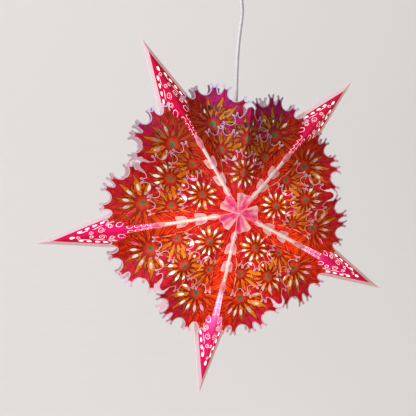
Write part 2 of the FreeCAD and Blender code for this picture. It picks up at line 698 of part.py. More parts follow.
def holder_ring():
    """Shade ring with flutes for the fingers."""
    top = SKIRT_END - RING_BELOW_CAP
    ring = tube(RING_RADIUS, BODY_RADIUS + THREAD_GAP, top - RING_HEIGHT, top)
    for number in range(RING_FLUTES):
        place = FULL_TURN * number / RING_FLUTES
        x = RING_RADIUS * math.cos(math.radians(place))
        y = RING_RADIUS * math.sin(math.radians(place))
        ring = ring.cut(rod(RING_FLUTE_RADIUS, top - RING_HEIGHT, top, x, y))
    return ring


def wedge(low, high, start, sweep):
    """Slice of a cylinder through the sleeve's wall, from a start angle."""
    piece = Part.makeCylinder(BODY_BORE, high - low, Vector(0, 0, low), Z_AXIS, sweep)
    piece.rotate(ORIGIN, Z_AXIS, start)
    return piece


def bayonet_sleeve():
    """Brass sleeve with two hooked slots for the bulb's pins."""
    flange = WEB_FACE - SLEEVE_FLANGE
    sleeve = turned([
        (SLEEVE_BORE, WEB_FACE),
        (BODY_BORE - THREAD_GAP, WEB_FACE),
        (BODY_BORE - THREAD_GAP, flange),
        (SLEEVE_RADIUS, flange),
        (SLEEVE_RADIUS, SLEEVE_END),
        (SLEEVE_BORE, SLEEVE_END),
    ])
    reach = PIN_RADIUS + PIN_ROOM
    spread = math.degrees(math.asin(reach / SLEEVE_BORE))
    hook_low = PIN_HEIGHT - reach
    hook_height = 2 * reach + PLUNGER_TRAVEL
    for side in (0, 180):
        hook = wedge(hook_low, hook_low + hook_height, side - spread, BAYONET_TURN + 2 * spread)
        leg = wedge(SLEEVE_END, PIN_HEIGHT, side + BAYONET_TURN - spread, 2 * spread)
        sleeve = sleeve.cut(hook.fuse(leg))
    return sleeve


def contact_block():
    """Insulating block that guides the plungers."""
    block = rod(SLEEVE_BORE - BLOCK_GAP, BLOCK_FACE, WEB_FACE)
    for side in (-1, 1):
        depth = PLUNGER_GUIDE + PLUNGER_TRAVEL + BLOCK_GAP
        bore = rod(PLUNGER_RADIUS + PLUNGER_BORE_GAP, BLOCK_FACE, BLOCK_FACE + depth, side * PLUNGER_OFFSET)
        block = block.cut(bore)
    return block


def contact_plungers():
    """Two sprung contacts that press on the bulb's cap, each with a rounded end."""
    pins = []
    low = BULB_TOP + CONTACT_GAP
    for side in (-1, 1):
        pin = rod(PLUNGER_RADIUS, low, BLOCK_FACE + PLUNGER_GUIDE, side * PLUNGER_OFFSET)
        ends = [edge for edge in pin.Edges if abs(edge.CenterOfMass.z - low) < CONTACT_GAP / 2]
        pins.append(pin.makeFillet(PLUNGER_ROUND, ends))
    return Part.makeCompound(pins)


def bulb_cap():
    """Metal cap with a rolled top edge and two locking pins."""
    roll = BULB_CAP_ROLL
    bend = roll * math.sin(math.radians(45))
    cap = turned([
        (0, BULB_TOP),
        (BULB_CAP_RADIUS - roll, BULB_TOP),
        (BULB_CAP_RADIUS - roll + bend, BULB_TOP - roll + bend, "arc"),
        (BULB_CAP_RADIUS, BULB_TOP - roll),
        (BULB_CAP_RADIUS, BULB_SHOULDER),
        (0, BULB_SHOULDER),
    ])
    pins = Part.makeCylinder(PIN_RADIUS, 2 * PIN_REACH, Vector(-PIN_REACH, 0, PIN_HEIGHT), X_AXIS)
    return cap.fuse(pins).removeSplitter()


def bulb_side(inset):
    """Side of the bulb from its neck to its lowest point, moved in by an inset."""
    middle = BULB_TOP - BULB_LENGTH + BULB_RADIUS
    radius = BULB_RADIUS - inset
    neck = BULB_NECK_RADIUS - inset
    turn = math.radians(BULB_TURN)
    bulge = (turn - math.pi / 2) / 2
    top = (radius * math.cos(turn), middle + radius * math.sin(turn))
    return [
        (neck, BULB_SHOULDER),
        ((neck + top[0]) / 2 - BULB_NECK_CURVE, (BULB_SHOULDER + top[1]) / 2, "arc"),
        top,
        (radius * math.cos(bulge), middle + radius * math.sin(bulge), "arc"),
        (0, middle - radius),
    ]


def bulb_glass():
    """Pear-shaped bulb, open at its neck under the cap."""
    return turned(bulb_side(0) + bulb_side(BULB_WALL)[::-1])


def card_nodes():
    """Every card piece of the star, front and back, by name."""
    repeated = {
        "arm": (arm_card(), FIRST_RIDGE),
        "flower_sheet": (flower_sheet(), FIRST_RIDGE - SECTOR),
        "flower_leaves": (leaf_set(), FIRST_RIDGE - SECTOR),
        "petal_strip": (petal_strip(), FIRST_RIDGE),
    }
    notch = rod(FLEX_RADIUS + FLEX_NOTCH, NECK_TOP, 0)
    nodes = {}
    for side in ("front", "back"):
        for name, (shape, first) in repeated.items():
            for number in range(ARM_COUNT):
                piece = hung(shape, first - 2 * SECTOR * number, side == "back")
                if name == "arm" and number < 2:
                    piece = piece.cut(notch)
                nodes[f"{name}_{side}_{number + 1}"] = piece
    flower = rosette()
    nodes["rosette_front"] = hung(flower, 0, False)
    nodes["rosette_back"] = hung(flower, 0, True)
    for side in ("front", "back"):
        strips = [nodes.pop(f"petal_strip_{side}_{number + 1}") for number in range(ARM_COUNT)]
        nodes[f"petal_strips_{side}"] = Part.makeCompound(strips)
    return nodes


def main():
    nodes = {
        "rose_base": rose_base(),
        "rose_terminals": rose_terminals(),
        "rose_cover": rose_cover(),
        "cord_knot": cord_knot(),
        "flex_cord": flex_cord(),
        "holder_cap": holder_cap(),
        "holder_body": holder_body(),
        "holder_ring": holder_ring(),
        "bayonet_sleeve": bayonet_sleeve(),
        "contact_block": contact_block(),
        "contact_plungers": contact_plungers(),
        "bulb_cap": bulb_cap(),
        "bulb_glass": bulb_glass(),
    }
    nodes.update(card_nodes())
    os.makedirs("parts", exist_ok=True)
    for name, shape in nodes.items():
        shape.exportStep(f"parts/{name}.step")


main()
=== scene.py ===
"""Looks of the hanging star lantern: printed, die-cut card lit from inside, on a white flex.

Lengths are millimetres until a mesh is made. A card piece is drawn flat, as seen from the front, with
its heading along the first axis and "across" to the left of it, then folded and hung on the star.
"""

import json
from functools import partial
from math import cos, hypot, pi, radians, sin, sqrt, tan
from typing import NamedTuple

import bpy
import numpy as np
from mathutils import Matrix, Vector
from mathutils.geometry import delaunay_2d_cdt


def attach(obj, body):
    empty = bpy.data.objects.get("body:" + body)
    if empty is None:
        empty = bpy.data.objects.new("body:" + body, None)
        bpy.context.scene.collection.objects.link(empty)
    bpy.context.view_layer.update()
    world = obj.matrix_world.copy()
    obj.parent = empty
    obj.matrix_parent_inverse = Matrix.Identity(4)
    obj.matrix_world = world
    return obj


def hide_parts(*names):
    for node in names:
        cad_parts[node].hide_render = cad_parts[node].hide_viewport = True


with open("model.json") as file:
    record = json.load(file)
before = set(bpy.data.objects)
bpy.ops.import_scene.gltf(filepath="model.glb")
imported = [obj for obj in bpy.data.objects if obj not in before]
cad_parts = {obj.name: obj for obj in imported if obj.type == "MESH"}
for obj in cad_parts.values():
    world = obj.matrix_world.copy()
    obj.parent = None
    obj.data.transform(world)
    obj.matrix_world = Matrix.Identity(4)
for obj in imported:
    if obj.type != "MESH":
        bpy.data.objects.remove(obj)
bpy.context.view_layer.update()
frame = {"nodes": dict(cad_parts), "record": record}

MM = 0.001
CENTRE = np.zeros(2)
NEXT_TO_NOTHING = 1e-9

# Star: a slope says how far a line falls back for its length
ARM_COUNT = 5
SECTOR = 180.0 / ARM_COUNT  # from an arm's ridge to the valley beside it, in degrees like all angles
STAR_RADIUS = 300.0
APEX_DEPTH = 80.0
TIP_HALF_ANGLE = 13.3
STAR_ROLL = 6.4  # how far the star hangs turned
STAR_CENTRE = np.array([-6.5, 0.0, -385.0])
FIRST_RIDGE = 126.0  # heading of the first arm before that turn
CARD = 0.5
CARD_SHOWN = 0.8  # share of the card's thickness that is drawn, so that pieces stay apart
SEAM_GAP = 0.3
APEX_HOLE = 5.0
VALLEY_NOTCH = 7.0  # corner cut off each arm's root, where the flex leaves the star
RIDGE_SLOPE = (APEX_DEPTH - CARD - SEAM_GAP / 2) / STAR_RADIUS
FACET_SLOPE = RIDGE_SLOPE / tan(radians(TIP_HALF_ANGLE))
VALLEY_RADIUS = (STAR_RADIUS * sin(radians(TIP_HALF_ANGLE))
                 / sin(radians(TIP_HALF_ANGLE + SECTOR)))

# Flower sheets
CREASE_ANGLE = 14.8  # from a ridge to the crease beside it
CREASE = SECTOR - CREASE_ANGLE  # and from the middle fold to a crease
CREASE_SLOPE = 0.37
SPINE_SLOPE = 0.175
RIDGE_STRIP = 3.5  # distance of the sheet's edge from the ridge
PANEL_SLOPE = ((CREASE_SLOPE - RIDGE_SLOPE * cos(radians(CREASE_ANGLE)))
               / sin(radians(CREASE_ANGLE)))
SHEET_DEPTH = APEX_DEPTH - (FACET_SLOPE - PANEL_SLOPE) * RIDGE_STRIP + CARD + SEAM_GAP
SHEET_INNER = 16.0
SHEET_RIDGE_END = 170.0
SHEET_RIDGE_TURN = 125.0  # where the sheet's edge starts to leave the ridge
SHEET_RIDGE_OFF = 5.5
CUFF = (167.5, 11.5)  # how far in the arm's lobe shows, along the ridge and beside it
SHEET_BLOOM = 138.7  # distance of each flower's centre from the star's
SHEET_REACH = 65.0
SHEET_TIPS = (-66.0, -34.0, -17.0, 12.0, 33.0)
SHEET_WINDOW_AT = 25.5
SHEET_WINDOWS = (-104.0, -66.0, -33.0, -4.0, 20.0, 44.0)
PRINTED_PETALS = 12
WARP_FROM = (-180.0, -135.0) + SHEET_WINDOWS + (75.0, 105.0, 180.0)  # angles that the print spreads evenly
WARP_TO = (-180.0, -135.0, -105.0, -75.0, -45.0, -15.0, 15.0, 45.0, 75.0, 105.0, 180.0)
SLOT_START = 92.0
SLOT_HALF_WIDTH = 15.0
SLOT_MOUTH = 148.0
SLOT_MOUTH_HALF = 9.5
CREASE_SLOT = (100.0, 40.0, 11.0)  # middle, length and width
HEART_SLOT = (68.0, 62.0, 40.0)
RIDGE_SIDE = 0.35  # how far the ridge's inks in painted shade reach over the crease, as a share of a window's distance
SHEET_GRID = 1.5  # spacing of the points that fill a card

# Forks, scallops and windows
FORK_LENGTH = 12.5
FORK_SPREAD = 6.6
FORK_NECK = 5.4
FORK_CLEFT = 5.8
CLEFT_ROUND = 2.2  # power of the cleft's curve
FORK_WAIST = 0.9  # how far a fork's sides draw in before they flare
PRONG = 4.3  # width of each rounded point of a fork
SCALLOP = 0.26  # depth of a scallop for its width
SCALLOP_LEAST = 3.5
SCALLOP_ROUND = 2.6
NUB = 2.2  # small point in the middle of a wide scallop
NUB_WIDTH = 0.06
NUB_CHORD = 16.0
SMALL_FORK = 0.72
WINDOW_LENGTH = 11.0
WINDOW_WIDTH = 4.4
WINDOW_POINT = 0.45  # power that draws a window to its points

# Raised leaves: a flower's distance from the star's centre, the reach of the forks and their angles round it,
# the root's distance and half width, and the slope at which the leaf lifts
LEAF_GAP = 0.9
LEAF_WAIST = 0.08  # hollow of a leaf's sides for their length
LEAF_EDGE = 2.0  # a leaf's margin is narrower than a sheet's by this
LEAF_GRID = 1.3
LARGE_BLOOM = 112.6
LARGE_REACH = 43.0
LARGE_POINT = 50.0
LARGE_POINT_HALF = 6.5
LARGE_TIPS = (31.0, 64.0)
LARGE_SIDE = 97.0
LARGE_SIDE_REACH = 40.0
LARGE_ROOT = 80.0
LARGE_ROOT_HALF = 12.0
LARGE_LIFT = 0.05
LARGE_WINDOW_AT = 21.0
LARGE_WINDOWS = (15.0, 45.0, 75.0)
CREASE_BLOOM = 97.2
CREASE_REACH = 37.0
CREASE_TIPS = (-50.0, -14.0, 22.0)
CREASE_ROOT = 62.0
CREASE_ROOT_HALF = 8.0
CREASE_LIFT = 0.07
CREASE_PETAL_AT = 19.0
HEART_BLOOM = 60.8
HEART_REACH = 36.0
HEART_TIPS = (20.0, 60.0)
HEART_SIDE = 113.0
HEART_SIDE_REACH = 25.0
HEART_HIP = 150.0
HEART_ROOT = 24.0
HEART_ROOT_HALF = 7.0
HEART_LIFT = 0.11
HEART_WINDOW_AT = 17.2
HEART_WINDOWS = (15.0, 45.0, 75.0, 105.0, 135.0, 165.0)
HEART_WINDOW_LENGTH = 8.0
HEART_WINDOW_WIDTH = 3.2
HEART_GRID = 1.2
SPARK_AT = 31.0  # small cut-outs in the cards behind this leaf, between its points
SPARK_TURN = 40.0
SPARK_LENGTH = 6.0
SPARK_WIDTH = 3.4

# Filigree of the arms: places are distance from the tip along the side edge and distance in from it
DROP_FIRST = 66.0
DROP_PITCH = 12.2
DROP_COUNT = 6
DROP_IN = 8.7
DROP_LENGTH = 7.8
DROP_WIDTH = 3.1
DROP_FORM = (0.8, 0.3)  # a drop's width at its middle and how much it narrows
TIP_DROP = (246.0, 8.4, 4.2)  # place on the ridge, length and width
TIP_SCROLL = ((237.5, 1.6), 150.0, 3.0, 1.2, 0.8, 0.6)  # place, heading, size, turns, squash and draw
STEMS = (((62.0, 9.6), (80.0, 12.1)), ((83.0, 12.3), (103.0, 12.6)), ((106.0, 12.6), (126.0, 12.6)))
STEM_RISE = 0.4
SCROLLS = (  # place, size, turns, squash and draw, the share by which it shrinks
    (81.0, 15.8, 3.6, 1.45, 0.7, 0.7), (97.0, 17.2, 6.2, 1.5, 0.6, 0.75), (111.5, 16.9, 4.4, 1.45, 0.7, 0.7),
    (125.0, 20.2, 5.6, 0.93, 0.56, 0.1),
)
RIDGE_LOOPS = ((160.0, 3.7, 4.4), (149.5, 3.3, 3.8), (140.0, 3.0, 3.4), (131.5, 2.8, 3.0))  # place and size
RIDGE_LOOP_FORM = (0.93, 0.5, 0.1)  # turns, squash and draw
LINE_WIDTH = 0.7
LINE_TAPER = 0.3  # power that draws a scroll to its points
ARM_GRID = 2.4

# Petal strips and rosette
STRIP_HALF = 2.0
STRIP_SLOPE = 0.3
STRIP_OUTER_LEAF = (109.0, 132.0, 4.2)  # start, end and half width
STRIP_INNER_LEAF = (27.0, 45.0, 4.4)
STRIP_CREAM = ((27.0, 45.0, 60.0, 92.0, 109.0), (1.4, 3.0, 4.0, 3.4, 2.6))  # half width of the cream line
STRIP_PETALS = (47.0, 75.0)
STRIP_PETAL_LENGTH = 17.0
STRIP_PETAL_HALF = 8.6
STRIP_PETAL_ROOT = 0.8  # a petal's root for its length
STRIP_PETAL_END = (1.0, 0.5)  # middle of a petal's end, as shares of its length and half width
STRIP_PETAL_SIDE = (0.25, 0.85)
STRIP_TONES = (0.46, 0.2, 0.48)  # ink at a petal's root, its rise outwards, and the outer leaf's ink
STRIP_GRID = 1.6
ROSETTE_HALF = 13.2
ROSETTE_ROOT = 2.7
ROSETTE_END = (28.8, 30.5, 26.5)  # reach of a petal's notch, points and corners
ROSETTE_POINT = 0.52  # place of the points, as a share of the half width
ROSETTE_HOLE = 1.6
ROSETTE_TURN = 13.0
ROSETTE_SLOPE = 0.12
ROSETTE_PLEAT = 0.9  # how far a petal's pleats rise
ROSETTE_PLEATS = 2.5  # half waves of pleats from a petal's middle to its side
ROSETTE_CUP = 1.4  # how far a petal's sides curl forward
ROSETTE_TONES = (0.3, 0.2, 0.12, 0.2)  # ink at the root and more to the end, then painted highlight and shade on the pleats and from one side to the other

# Lamp
BULB_MIDDLE = np.array([0.0, 0.0, -425.0])
GLOW_REACH = 90.0  # distance from the bulb at which the card's glow has halved
HOLDER_SHADE = 0.55  # share of the bulb's light that the lampholder keeps from the card above it
SHADE_FROM = 0.6  # steepness of the way up at which that shade begins
SHADE_SPAN = 0.35  # how much steeper the way is where it is full

# Flex
FLEX_DIAMETER = 5.5
FLEX_ROUTE = (  # x and height of the flex, which wanders a little from plumb
    (0.0, -303.0), (0.0, -240.0), (0.0, -205.0), (-0.9, -175.0), (-1.2, -143.0),
    (0.0, -110.0), (2.0, -88.0), (3.8, -70.0), (1.6, -52.0), (0.0, -40.0), (0.0, -34.0),
)

# Print: each pair says where something begins and where it is full
SHEET_MARGIN = (1.8, 1.4)
ARM_MARGIN = (5.6, 5.2)
PETAL_MARGIN = (1.0, 0.5)
INNER_SHADE_SPAN = (9.0, 16.0)  # painted shade of the inside on a card's bare back, in from the cut edge
EDGE_SHADE = (9.0, 22.0)
FLOWER_EYE = (4.4, 3.9)  # out from a flower's centre
FLOWER_HEART = (12.0, 8.0)
PETAL_RIM = (-0.5, 0.0)  # in from a petal's outline
PETAL_FILL = (0.25, 1.0)
PETAL_CHANCE = (0.94, 1.2)  # range of the numbers that divide a petal's length, by chance
ARM_BUD = (122.0, 108.0)  # along an arm, and beside its ridge
ARM_BLUSH = (6.0, 8.0)
WAVER = ((14.29, 8.0), (3.125, 2.6))  # size of the waves in the drawing and how far they go
STREAK_COUNT = 10.0  # about as many streaks to a radian round a flower
STREAK_LENGTH = 20.0
PATCH_SIZE = 16.67
BLUSH_SIZE = 11.11
FIBRE_SIZE = 3.0  # card's fibres, drawn coarser than they are so that they show
CLOUD_SIZE = 10.0
MARKS = ("edge", "glow", "tone")  # what each point of a card tells its print
COLOURS = {"data_type": "RGBA", "out": 2}  # a mix of colours: its share and colours are sockets 0, 6 and 7

# Studio, in metres
FLOOR = -0.95
FLOOR_FRONT = -4.0
BACKDROP = 1.6
BACKDROP_BEND = 0.8
BACKDROP_TOP = 3.5
BACKDROP_HALF = 5.0
PAPER_SEEN = 0.62  # own brightness of the backdrop where it is seen
SKY_LIGHT = 0.13  # strength of the sky as a light
SKY_SEEN = 0.82  # and where it is seen

# Camera, fitted to the arm tips and the front point
VIEW_AZIMUTH = -13.1
VIEW_ELEVATION = 2.6
VIEW_ROLL = 2.6
VIEW_DISTANCE = 1033.0
LENS = 55.5  # focal length
SHIFT = (-0.0463, 0.0054)  # shares of the picture


# Flat drawing

def polar(radius, degrees):
    """Points at a distance and an angle from the centre."""
    turn = np.radians(degrees)
    return np.stack([radius * np.cos(turn), radius * np.sin(turn)], axis=-1)


def beside(start, degrees, along, side):
    """Points reached from a start by going along a heading and then to its left."""
    turn = radians(degrees)
    ahead = np.array([cos(turn), sin(turn)])
    left = np.array([-ahead[1], ahead[0]])
    return start + np.multiply.outer(along, ahead) + np.multiply.outer(side, left)


def fork(centre, degrees, reach, size):
    """Forked point of a flower's edge.

    Sides draw in as a sine and flare as a cube, each point ends in a half circle, the cleft is a power curve.
    """
    t = np.linspace(0, 1, 7)
    c = np.linspace(-1, 1, 9)[1:-1]
    turn = np.linspace(0, pi, 7)
    shoulder = FORK_LENGTH - PRONG / 2
    flank = shoulder * t - FORK_LENGTH
    half = FORK_NECK + (FORK_SPREAD - FORK_NECK) * t ** 3 - FORK_WAIST * np.sin(pi * t)
    round_end = PRONG / 2 * (np.sin(turn) - 1)
    middle = FORK_SPREAD - PRONG / 2 + PRONG / 2 * np.cos(turn)
    cleft = -PRONG / 2 - (FORK_CLEFT - PRONG / 2) * (1 - np.abs(c) ** CLEFT_ROUND)
    along = np.concatenate([flank[:-1], round_end, cleft, round_end[::-1], flank[-2::-1]])
    side = np.concatenate([-half[:-1], -middle, c * (FORK_SPREAD - PRONG), middle[::-1], half[-2::-1]])
    return beside(centre, degrees, reach + along * size, side * size)


def scallop(start, end, towards, ratio):
    """Hollow between two forks: a flat-bottomed power curve, with a bell-shaped nub in a wide one."""
    t = np.linspace(0, 1, 19)[1:-1]
    chord = end - start
    width = np.hypot(*chord)
    square = np.array([-chord[1], chord[0]]) / width
    square = square * np.sign(square @ (towards - start))
    depth = ratio * width * (1 - np.abs(2 * t - 1) ** SCALLOP_ROUND)
    if width > NUB_CHORD:
        depth = depth - NUB * np.exp(-((t - 0.5) / NUB_WIDTH) ** 2)
    return start + np.multiply.outer(t, chord) + np.multiply.outer(depth, square)


def forks(centre, heading, tips, reach, size):
    """Forks in rising angle with scallops between them."""
    made = [fork(centre, heading + tip, reach, size) for tip in tips]
    edge = [made[0]]
    for before, after in zip(made, made[1:]):
        width = np.hypot(*(after[0] - before[-1]))
        edge += [scallop(before[-1], after[0], centre, max(SCALLOP, SCALLOP_LEAST / width)), after]
    return np.concatenate(edge)


def bow(start, through, end):
    """Curve from start to end that passes through a point at its middle: a parabola in one parameter."""
    t = np.linspace(0, 1, 13)[1:-1, None]
    swell = through - (start + end) / 2
    return start + (end - start) * t + swell * 4 * t * (1 - t)


def stretch(line):
    """Open line and its reflection across the heading, as single pieces of outline."""
    pairs = np.stack([line[:-1], line[1:]], axis=1)
    return list(pairs) + list(pairs * [1, -1])


def lens(centre, degrees, length, width):
    """Pointed oval: a circle whose width is drawn to points by a power of the sine."""
    t = np.linspace(0, 2 * pi, 22, endpoint=False)
    side = width / 2 * np.sin(t) * np.abs(np.sin(t)) ** WINDOW_POINT
    return beside(centre, degrees, length / 2 * np.cos(t), side)


def drop(centre, degrees, length, width):
    """Drop: an oval that narrows towards its heading."""
    t = np.linspace(0, 2 * pi, 18, endpoint=False)
    side = width / 2 * np.sin(t) * (DROP_FORM[0] - DROP_FORM[1] * np.cos(t))
    return beside(centre, degrees, length / 2 * np.cos(t), side)


def scroll(centre, heading, radius, turns, squash, draw):
    """Scroll-shaped slot: a ribbon drawn to points along a spiral that shrinks by a share.

    The spiral is squashed across its heading.
    """
    t = np.linspace(0, 1, 30)
    turn = 2 * pi * turns * t
    size = radius * (1 - draw * t)
    half = LINE_WIDTH / 2 * np.sin(pi * t) ** LINE_TAPER
    ring = np.concatenate([size + half, (size - half)[-2:0:-1]])
    turn = np.concatenate([turn, turn[-2:0:-1]])
    return beside(centre, heading, ring * np.cos(turn), squash * ring * np.sin(turn))


def tendril(first, last, rise, width):
    """Thin slot along a sine wave from one place to another, drawn to points at its ends."""
    t = np.linspace(0, 1, 14)
    run = last - first
    left = np.array([-run[1], run[0]]) / np.hypot(*run)
    half = width / 2 * np.sin(pi * t)
    wave = rise * np.sin(2 * pi * t)
    offset = np.concatenate([wave + half, (wave - half)[-2:0:-1]])
    place = np.concatenate([t, t[-2:0:-1]])
    return first + np.multiply.outer(place, run) + np.multiply.outer(offset, left)


def ring_of_lenses(centre, heading, angles, distance, length, width):
    """Windows round a flower, which point away from its centre at some angles to its heading."""
    return [lens(centre + polar(distance, heading + a), heading + a, length, width) for a in angles]


def both_sides(half):
    """Closed outline from its left half, whose first point lies on the heading."""
    return np.concatenate([half, half[:0:-1] * [1, -1]])


def doubled(windows):
    """Windows and their reflections across the heading."""
    return windows + [window[::-1] * [1, -1] for window in windows]


# Die cutting

def segments(loops):
    """Starts and ends of the stretches of closed outlines."""
    starts = np.concatenate(loops)
    ends = np.concatenate([np.roll(loop, -1, axis=0) for loop in loops])
    return starts, ends


def inside(points, loops):
    """Whether points lie in the card: a ray to one side crosses the outlines an odd number of times."""
    a, b = segments(loops)
    px = points[:, None, 0]
    py = points[:, None, 1]
    rise = np.where(b[:, 1] == a[:, 1], NEXT_TO_NOTHING, b[:, 1] - a[:, 1])
    straddles = (a[:, 1] > py) != (b[:, 1] > py)
    crossing = a[:, 0] + (py - a[:, 1]) * (b[:, 0] - a[:, 0]) / rise
    return (straddles & (px < crossing)).sum(axis=1) % 2 == 1


def distance_to(points, loops, batch=1500):
    """Distance from points to the nearest stretch of the outlines, some points at a time to spare memory."""
    a, b = segments(loops)
    run = b - a
    square = np.maximum((run ** 2).sum(axis=1), NEXT_TO_NOTHING)
    best = []
    for some in np.array_split(points, len(points) // batch + 1):
        gap = some[:, None] - a
        t = np.clip((gap * run).sum(axis=2) / square, 0, 1)
        best.append(np.sqrt(((gap - t[..., None] * run) ** 2).sum(axis=2)).min(axis=1))
    return np.concatenate(best)


def die_cut(outline, windows, creases, spacing):
    """Flat card as points and triangles.

    Points are the outlines, rows along the creases and an even triangular grid between them; the triangles
    are Delaunay's, kept where their middles lie in the card.
    """
    loops = [outline] + windows
    low = outline.min(axis=0)
    high = outline.max(axis=0)
    columns = np.arange(low[0], high[0], spacing)
    rows = np.arange(low[1], high[1], spacing * sqrt(3) / 2)
    grid_x, grid_y = np.meshgrid(columns, rows)
    grid_x[1::2] += spacing / 2
    grid = np.stack([grid_x.ravel(), grid_y.ravel()], axis=-1)
    lines = []
    for start, end in creases:
        count = int(np.hypot(*np.subtract(end, start)) / spacing)
        lines.append(np.linspace(start, end, max(count, 2)))
    for line in lines:
        grid = grid[distance_to(grid, [line[[0, -1]]]) > spacing / 2]
    grid = np.concatenate([grid] + lines)
    grid = grid[inside(grid, loops)]
    grid = grid[distance_to(grid, loops) > spacing / 3]
    points = np.concatenate(loops + [grid])
    edges = []
    first = 0
    for loop in loops:
        number = np.arange(len(loop))
        edges.append(first + np.stack([number, (number + 1) % len(loop)], axis=-1))
        first += len(loop)
    edges = np.concatenate(edges)
    cut = delaunay_2d_cdt([Vector(p) for p in points], edges.tolist(), [], 0, 1e-5)
    flat = np.array([tuple(p) for p in cut[0]])
    faces = np.array([f for f in cut[2] if len(f) == 3])
    faces = faces[inside(flat[faces].mean(axis=1), loops)]
    used, faces = np.unique(faces, return_inverse=True)
    return flat[used], faces.reshape(-1, 3)


# Folding

def panel(depth, first, first_slope, second, second_slope):
    """Plane of a card panel: its depth at the centre and its fall along two headings."""
    a = polar(1.0, first)
    b = polar(1.0, second)
    area = a[0] * b[1] - a[1] * b[0]
    along = first_slope * b[1] - second_slope * a[1]
    across = second_slope * a[0] - first_slope * b[0]
    return depth, np.array([along, across]) / area


def lifted(plane, heading, root, gap, slope):
    """The same plane hinged forward at a root line across a heading."""
    depth, fall = plane
    return depth + gap - slope * root, fall - slope * polar(1.0, heading)


def lie(planes, flat):
    """Depth of flat points on the foremost of some planes, with both sides of the heading alike."""
    along = flat[:, 0]
    across = np.abs(flat[:, 1])
    return np.minimum.reduce([-depth + along * fall[0] + across * fall[1] for depth, fall in planes])


RIDGE_PANEL = panel(SHEET_DEPTH, SECTOR, RIDGE_SLOPE, CREASE, CREASE_SLOPE)
SPINE_PANEL = panel(SHEET_DEPTH, CREASE, CREASE_SLOPE, 0, SPINE_SLOPE)
FACET = panel(APEX_DEPTH, 0, RIDGE_SLOPE, 90, FACET_SLOPE)
STRIP = panel(APEX_DEPTH + CARD + SEAM_GAP, 0, RIDGE_SLOPE, 90, STRIP_SLOPE)


class Piece(NamedTuple):
    """A cut and folded card: what is known of each of its points, and the triangles between them."""
    flat: np.ndarray  # place before folding
    faces: np.ndarray
    depth: np.ndarray  # how far behind the star's middle it lies
    print: np.ndarray  # place in the printed flower
    edge: np.ndarray  # distance to the cut edge
    tone: np.ndarray  # tone of its ink, with painted shade on a sheet's ridge side and on a rosette petal's pleats and one side


def cut_card(outline, windows, creases, spacing, planes, bloom=None, petal_at=SHEET_WINDOW_AT,
             edge_loops=None, edge_size=1.0):
    """Card cut to an outline, folded on planes and printed with a flower scaled to its petals' distance."""
    flat, faces = die_cut(outline, windows, creases, spacing)
    places = (bloom(flat) if bloom else flat) * SHEET_WINDOW_AT / petal_at
    edge = distance_to(flat, edge_loops or [outline]) * edge_size
    return Piece(flat, faces, lie(planes, flat), places, edge, np.zeros(len(flat)))


def mirrored(piece):
    """The same piece reflected across its heading, with its faces turned the right way again."""
    return piece._replace(flat=piece.flat * [1, -1], faces=piece.faces[:, ::-1])


def ridge_inked_and_shaded(piece):
    """The same piece with the ridge's duller, darker inks on one side, which are painted shade, growing with
    the distance from the crease.
    """
    return piece._replace(tone=np.clip(piece.print[:, 1] / SHEET_WINDOW_AT + RIDGE_SIDE, 0, 1))


def evened(places):
    """Places round a sheet's flower turned so that its uneven windows fall on the print's even petals."""
    turn = np.degrees(np.arctan2(places[:, 1], places[:, 0]))
    return polar(np.hypot(places[:, 0], places[:, 1]), np.interp(turn, WARP_FROM, WARP_TO))


def around(centre, heading):
    """Function from flat points to places round a flower, alike on both sides of the middle fold."""
    turn = radians(heading)
    axes = np.array([[cos(turn), -sin(turn)], [sin(turn), cos(turn)]])

    def places(flat):
        return (np.stack([flat[:, 0], np.abs(flat[:, 1])], axis=-1) - centre) @ axes
    return places


def flower_sheet():
    """Sheet between two ridges, folded like a W: its depth is the smaller of two planes on each side."""
    bloom = polar(SHEET_BLOOM, CREASE)
    mouth = np.array([SLOT_MOUTH, SLOT_MOUTH_HALF])
    start = np.array([SLOT_START, 0.0])
    slot = bow(start, np.array([(SLOT_START + SLOT_MOUTH) / 2, SLOT_HALF_WIDTH]), mouth)
    lobes = forks(bloom, CREASE, SHEET_TIPS, SHEET_REACH, 1.0)
    ridge = [
        beside(CENTRE, SECTOR, SHEET_RIDGE_END, -SHEET_RIDGE_OFF),
        beside(CENTRE, SECTOR, SHEET_RIDGE_TURN, -RIDGE_STRIP),
        beside(CENTRE, SECTOR, SHEET_INNER, -RIDGE_STRIP),
    ]
    last = bow(lobes[-1], beside(CENTRE, SECTOR, CUFF[0], -CUFF[1]), ridge[0])
    outline = both_sides(np.concatenate([start[None], slot, mouth[None], lobes, last, ridge]))
    windows = ring_of_lenses(bloom, CREASE, SHEET_WINDOWS, SHEET_WINDOW_AT, WINDOW_LENGTH, WINDOW_WIDTH)
    windows.append(lens(polar(CREASE_SLOT[0], CREASE), CREASE, *CREASE_SLOT[1:]))
    spark = polar(HEART_BLOOM, 0) + polar(SPARK_AT, SPARK_TURN)
    windows.append(lens(spark, SPARK_TURN, SPARK_LENGTH, SPARK_WIDTH))
    windows = doubled(windows)
    windows.append(lens(polar(HEART_SLOT[0], 0), 0, *HEART_SLOT[1:]))
    creases = [(CENTRE, polar(SHEET_BLOOM + SHEET_REACH, turn)) for turn in (-CREASE, 0, CREASE)]

    def places(flat):
        return evened(around(bloom, CREASE)(flat))
    planes = [RIDGE_PANEL, SPINE_PANEL]
    edge = stretch(lobes)
    return ridge_inked_and_shaded(cut_card(outline, windows, creases, SHEET_GRID, planes, places, edge_loops=edge))


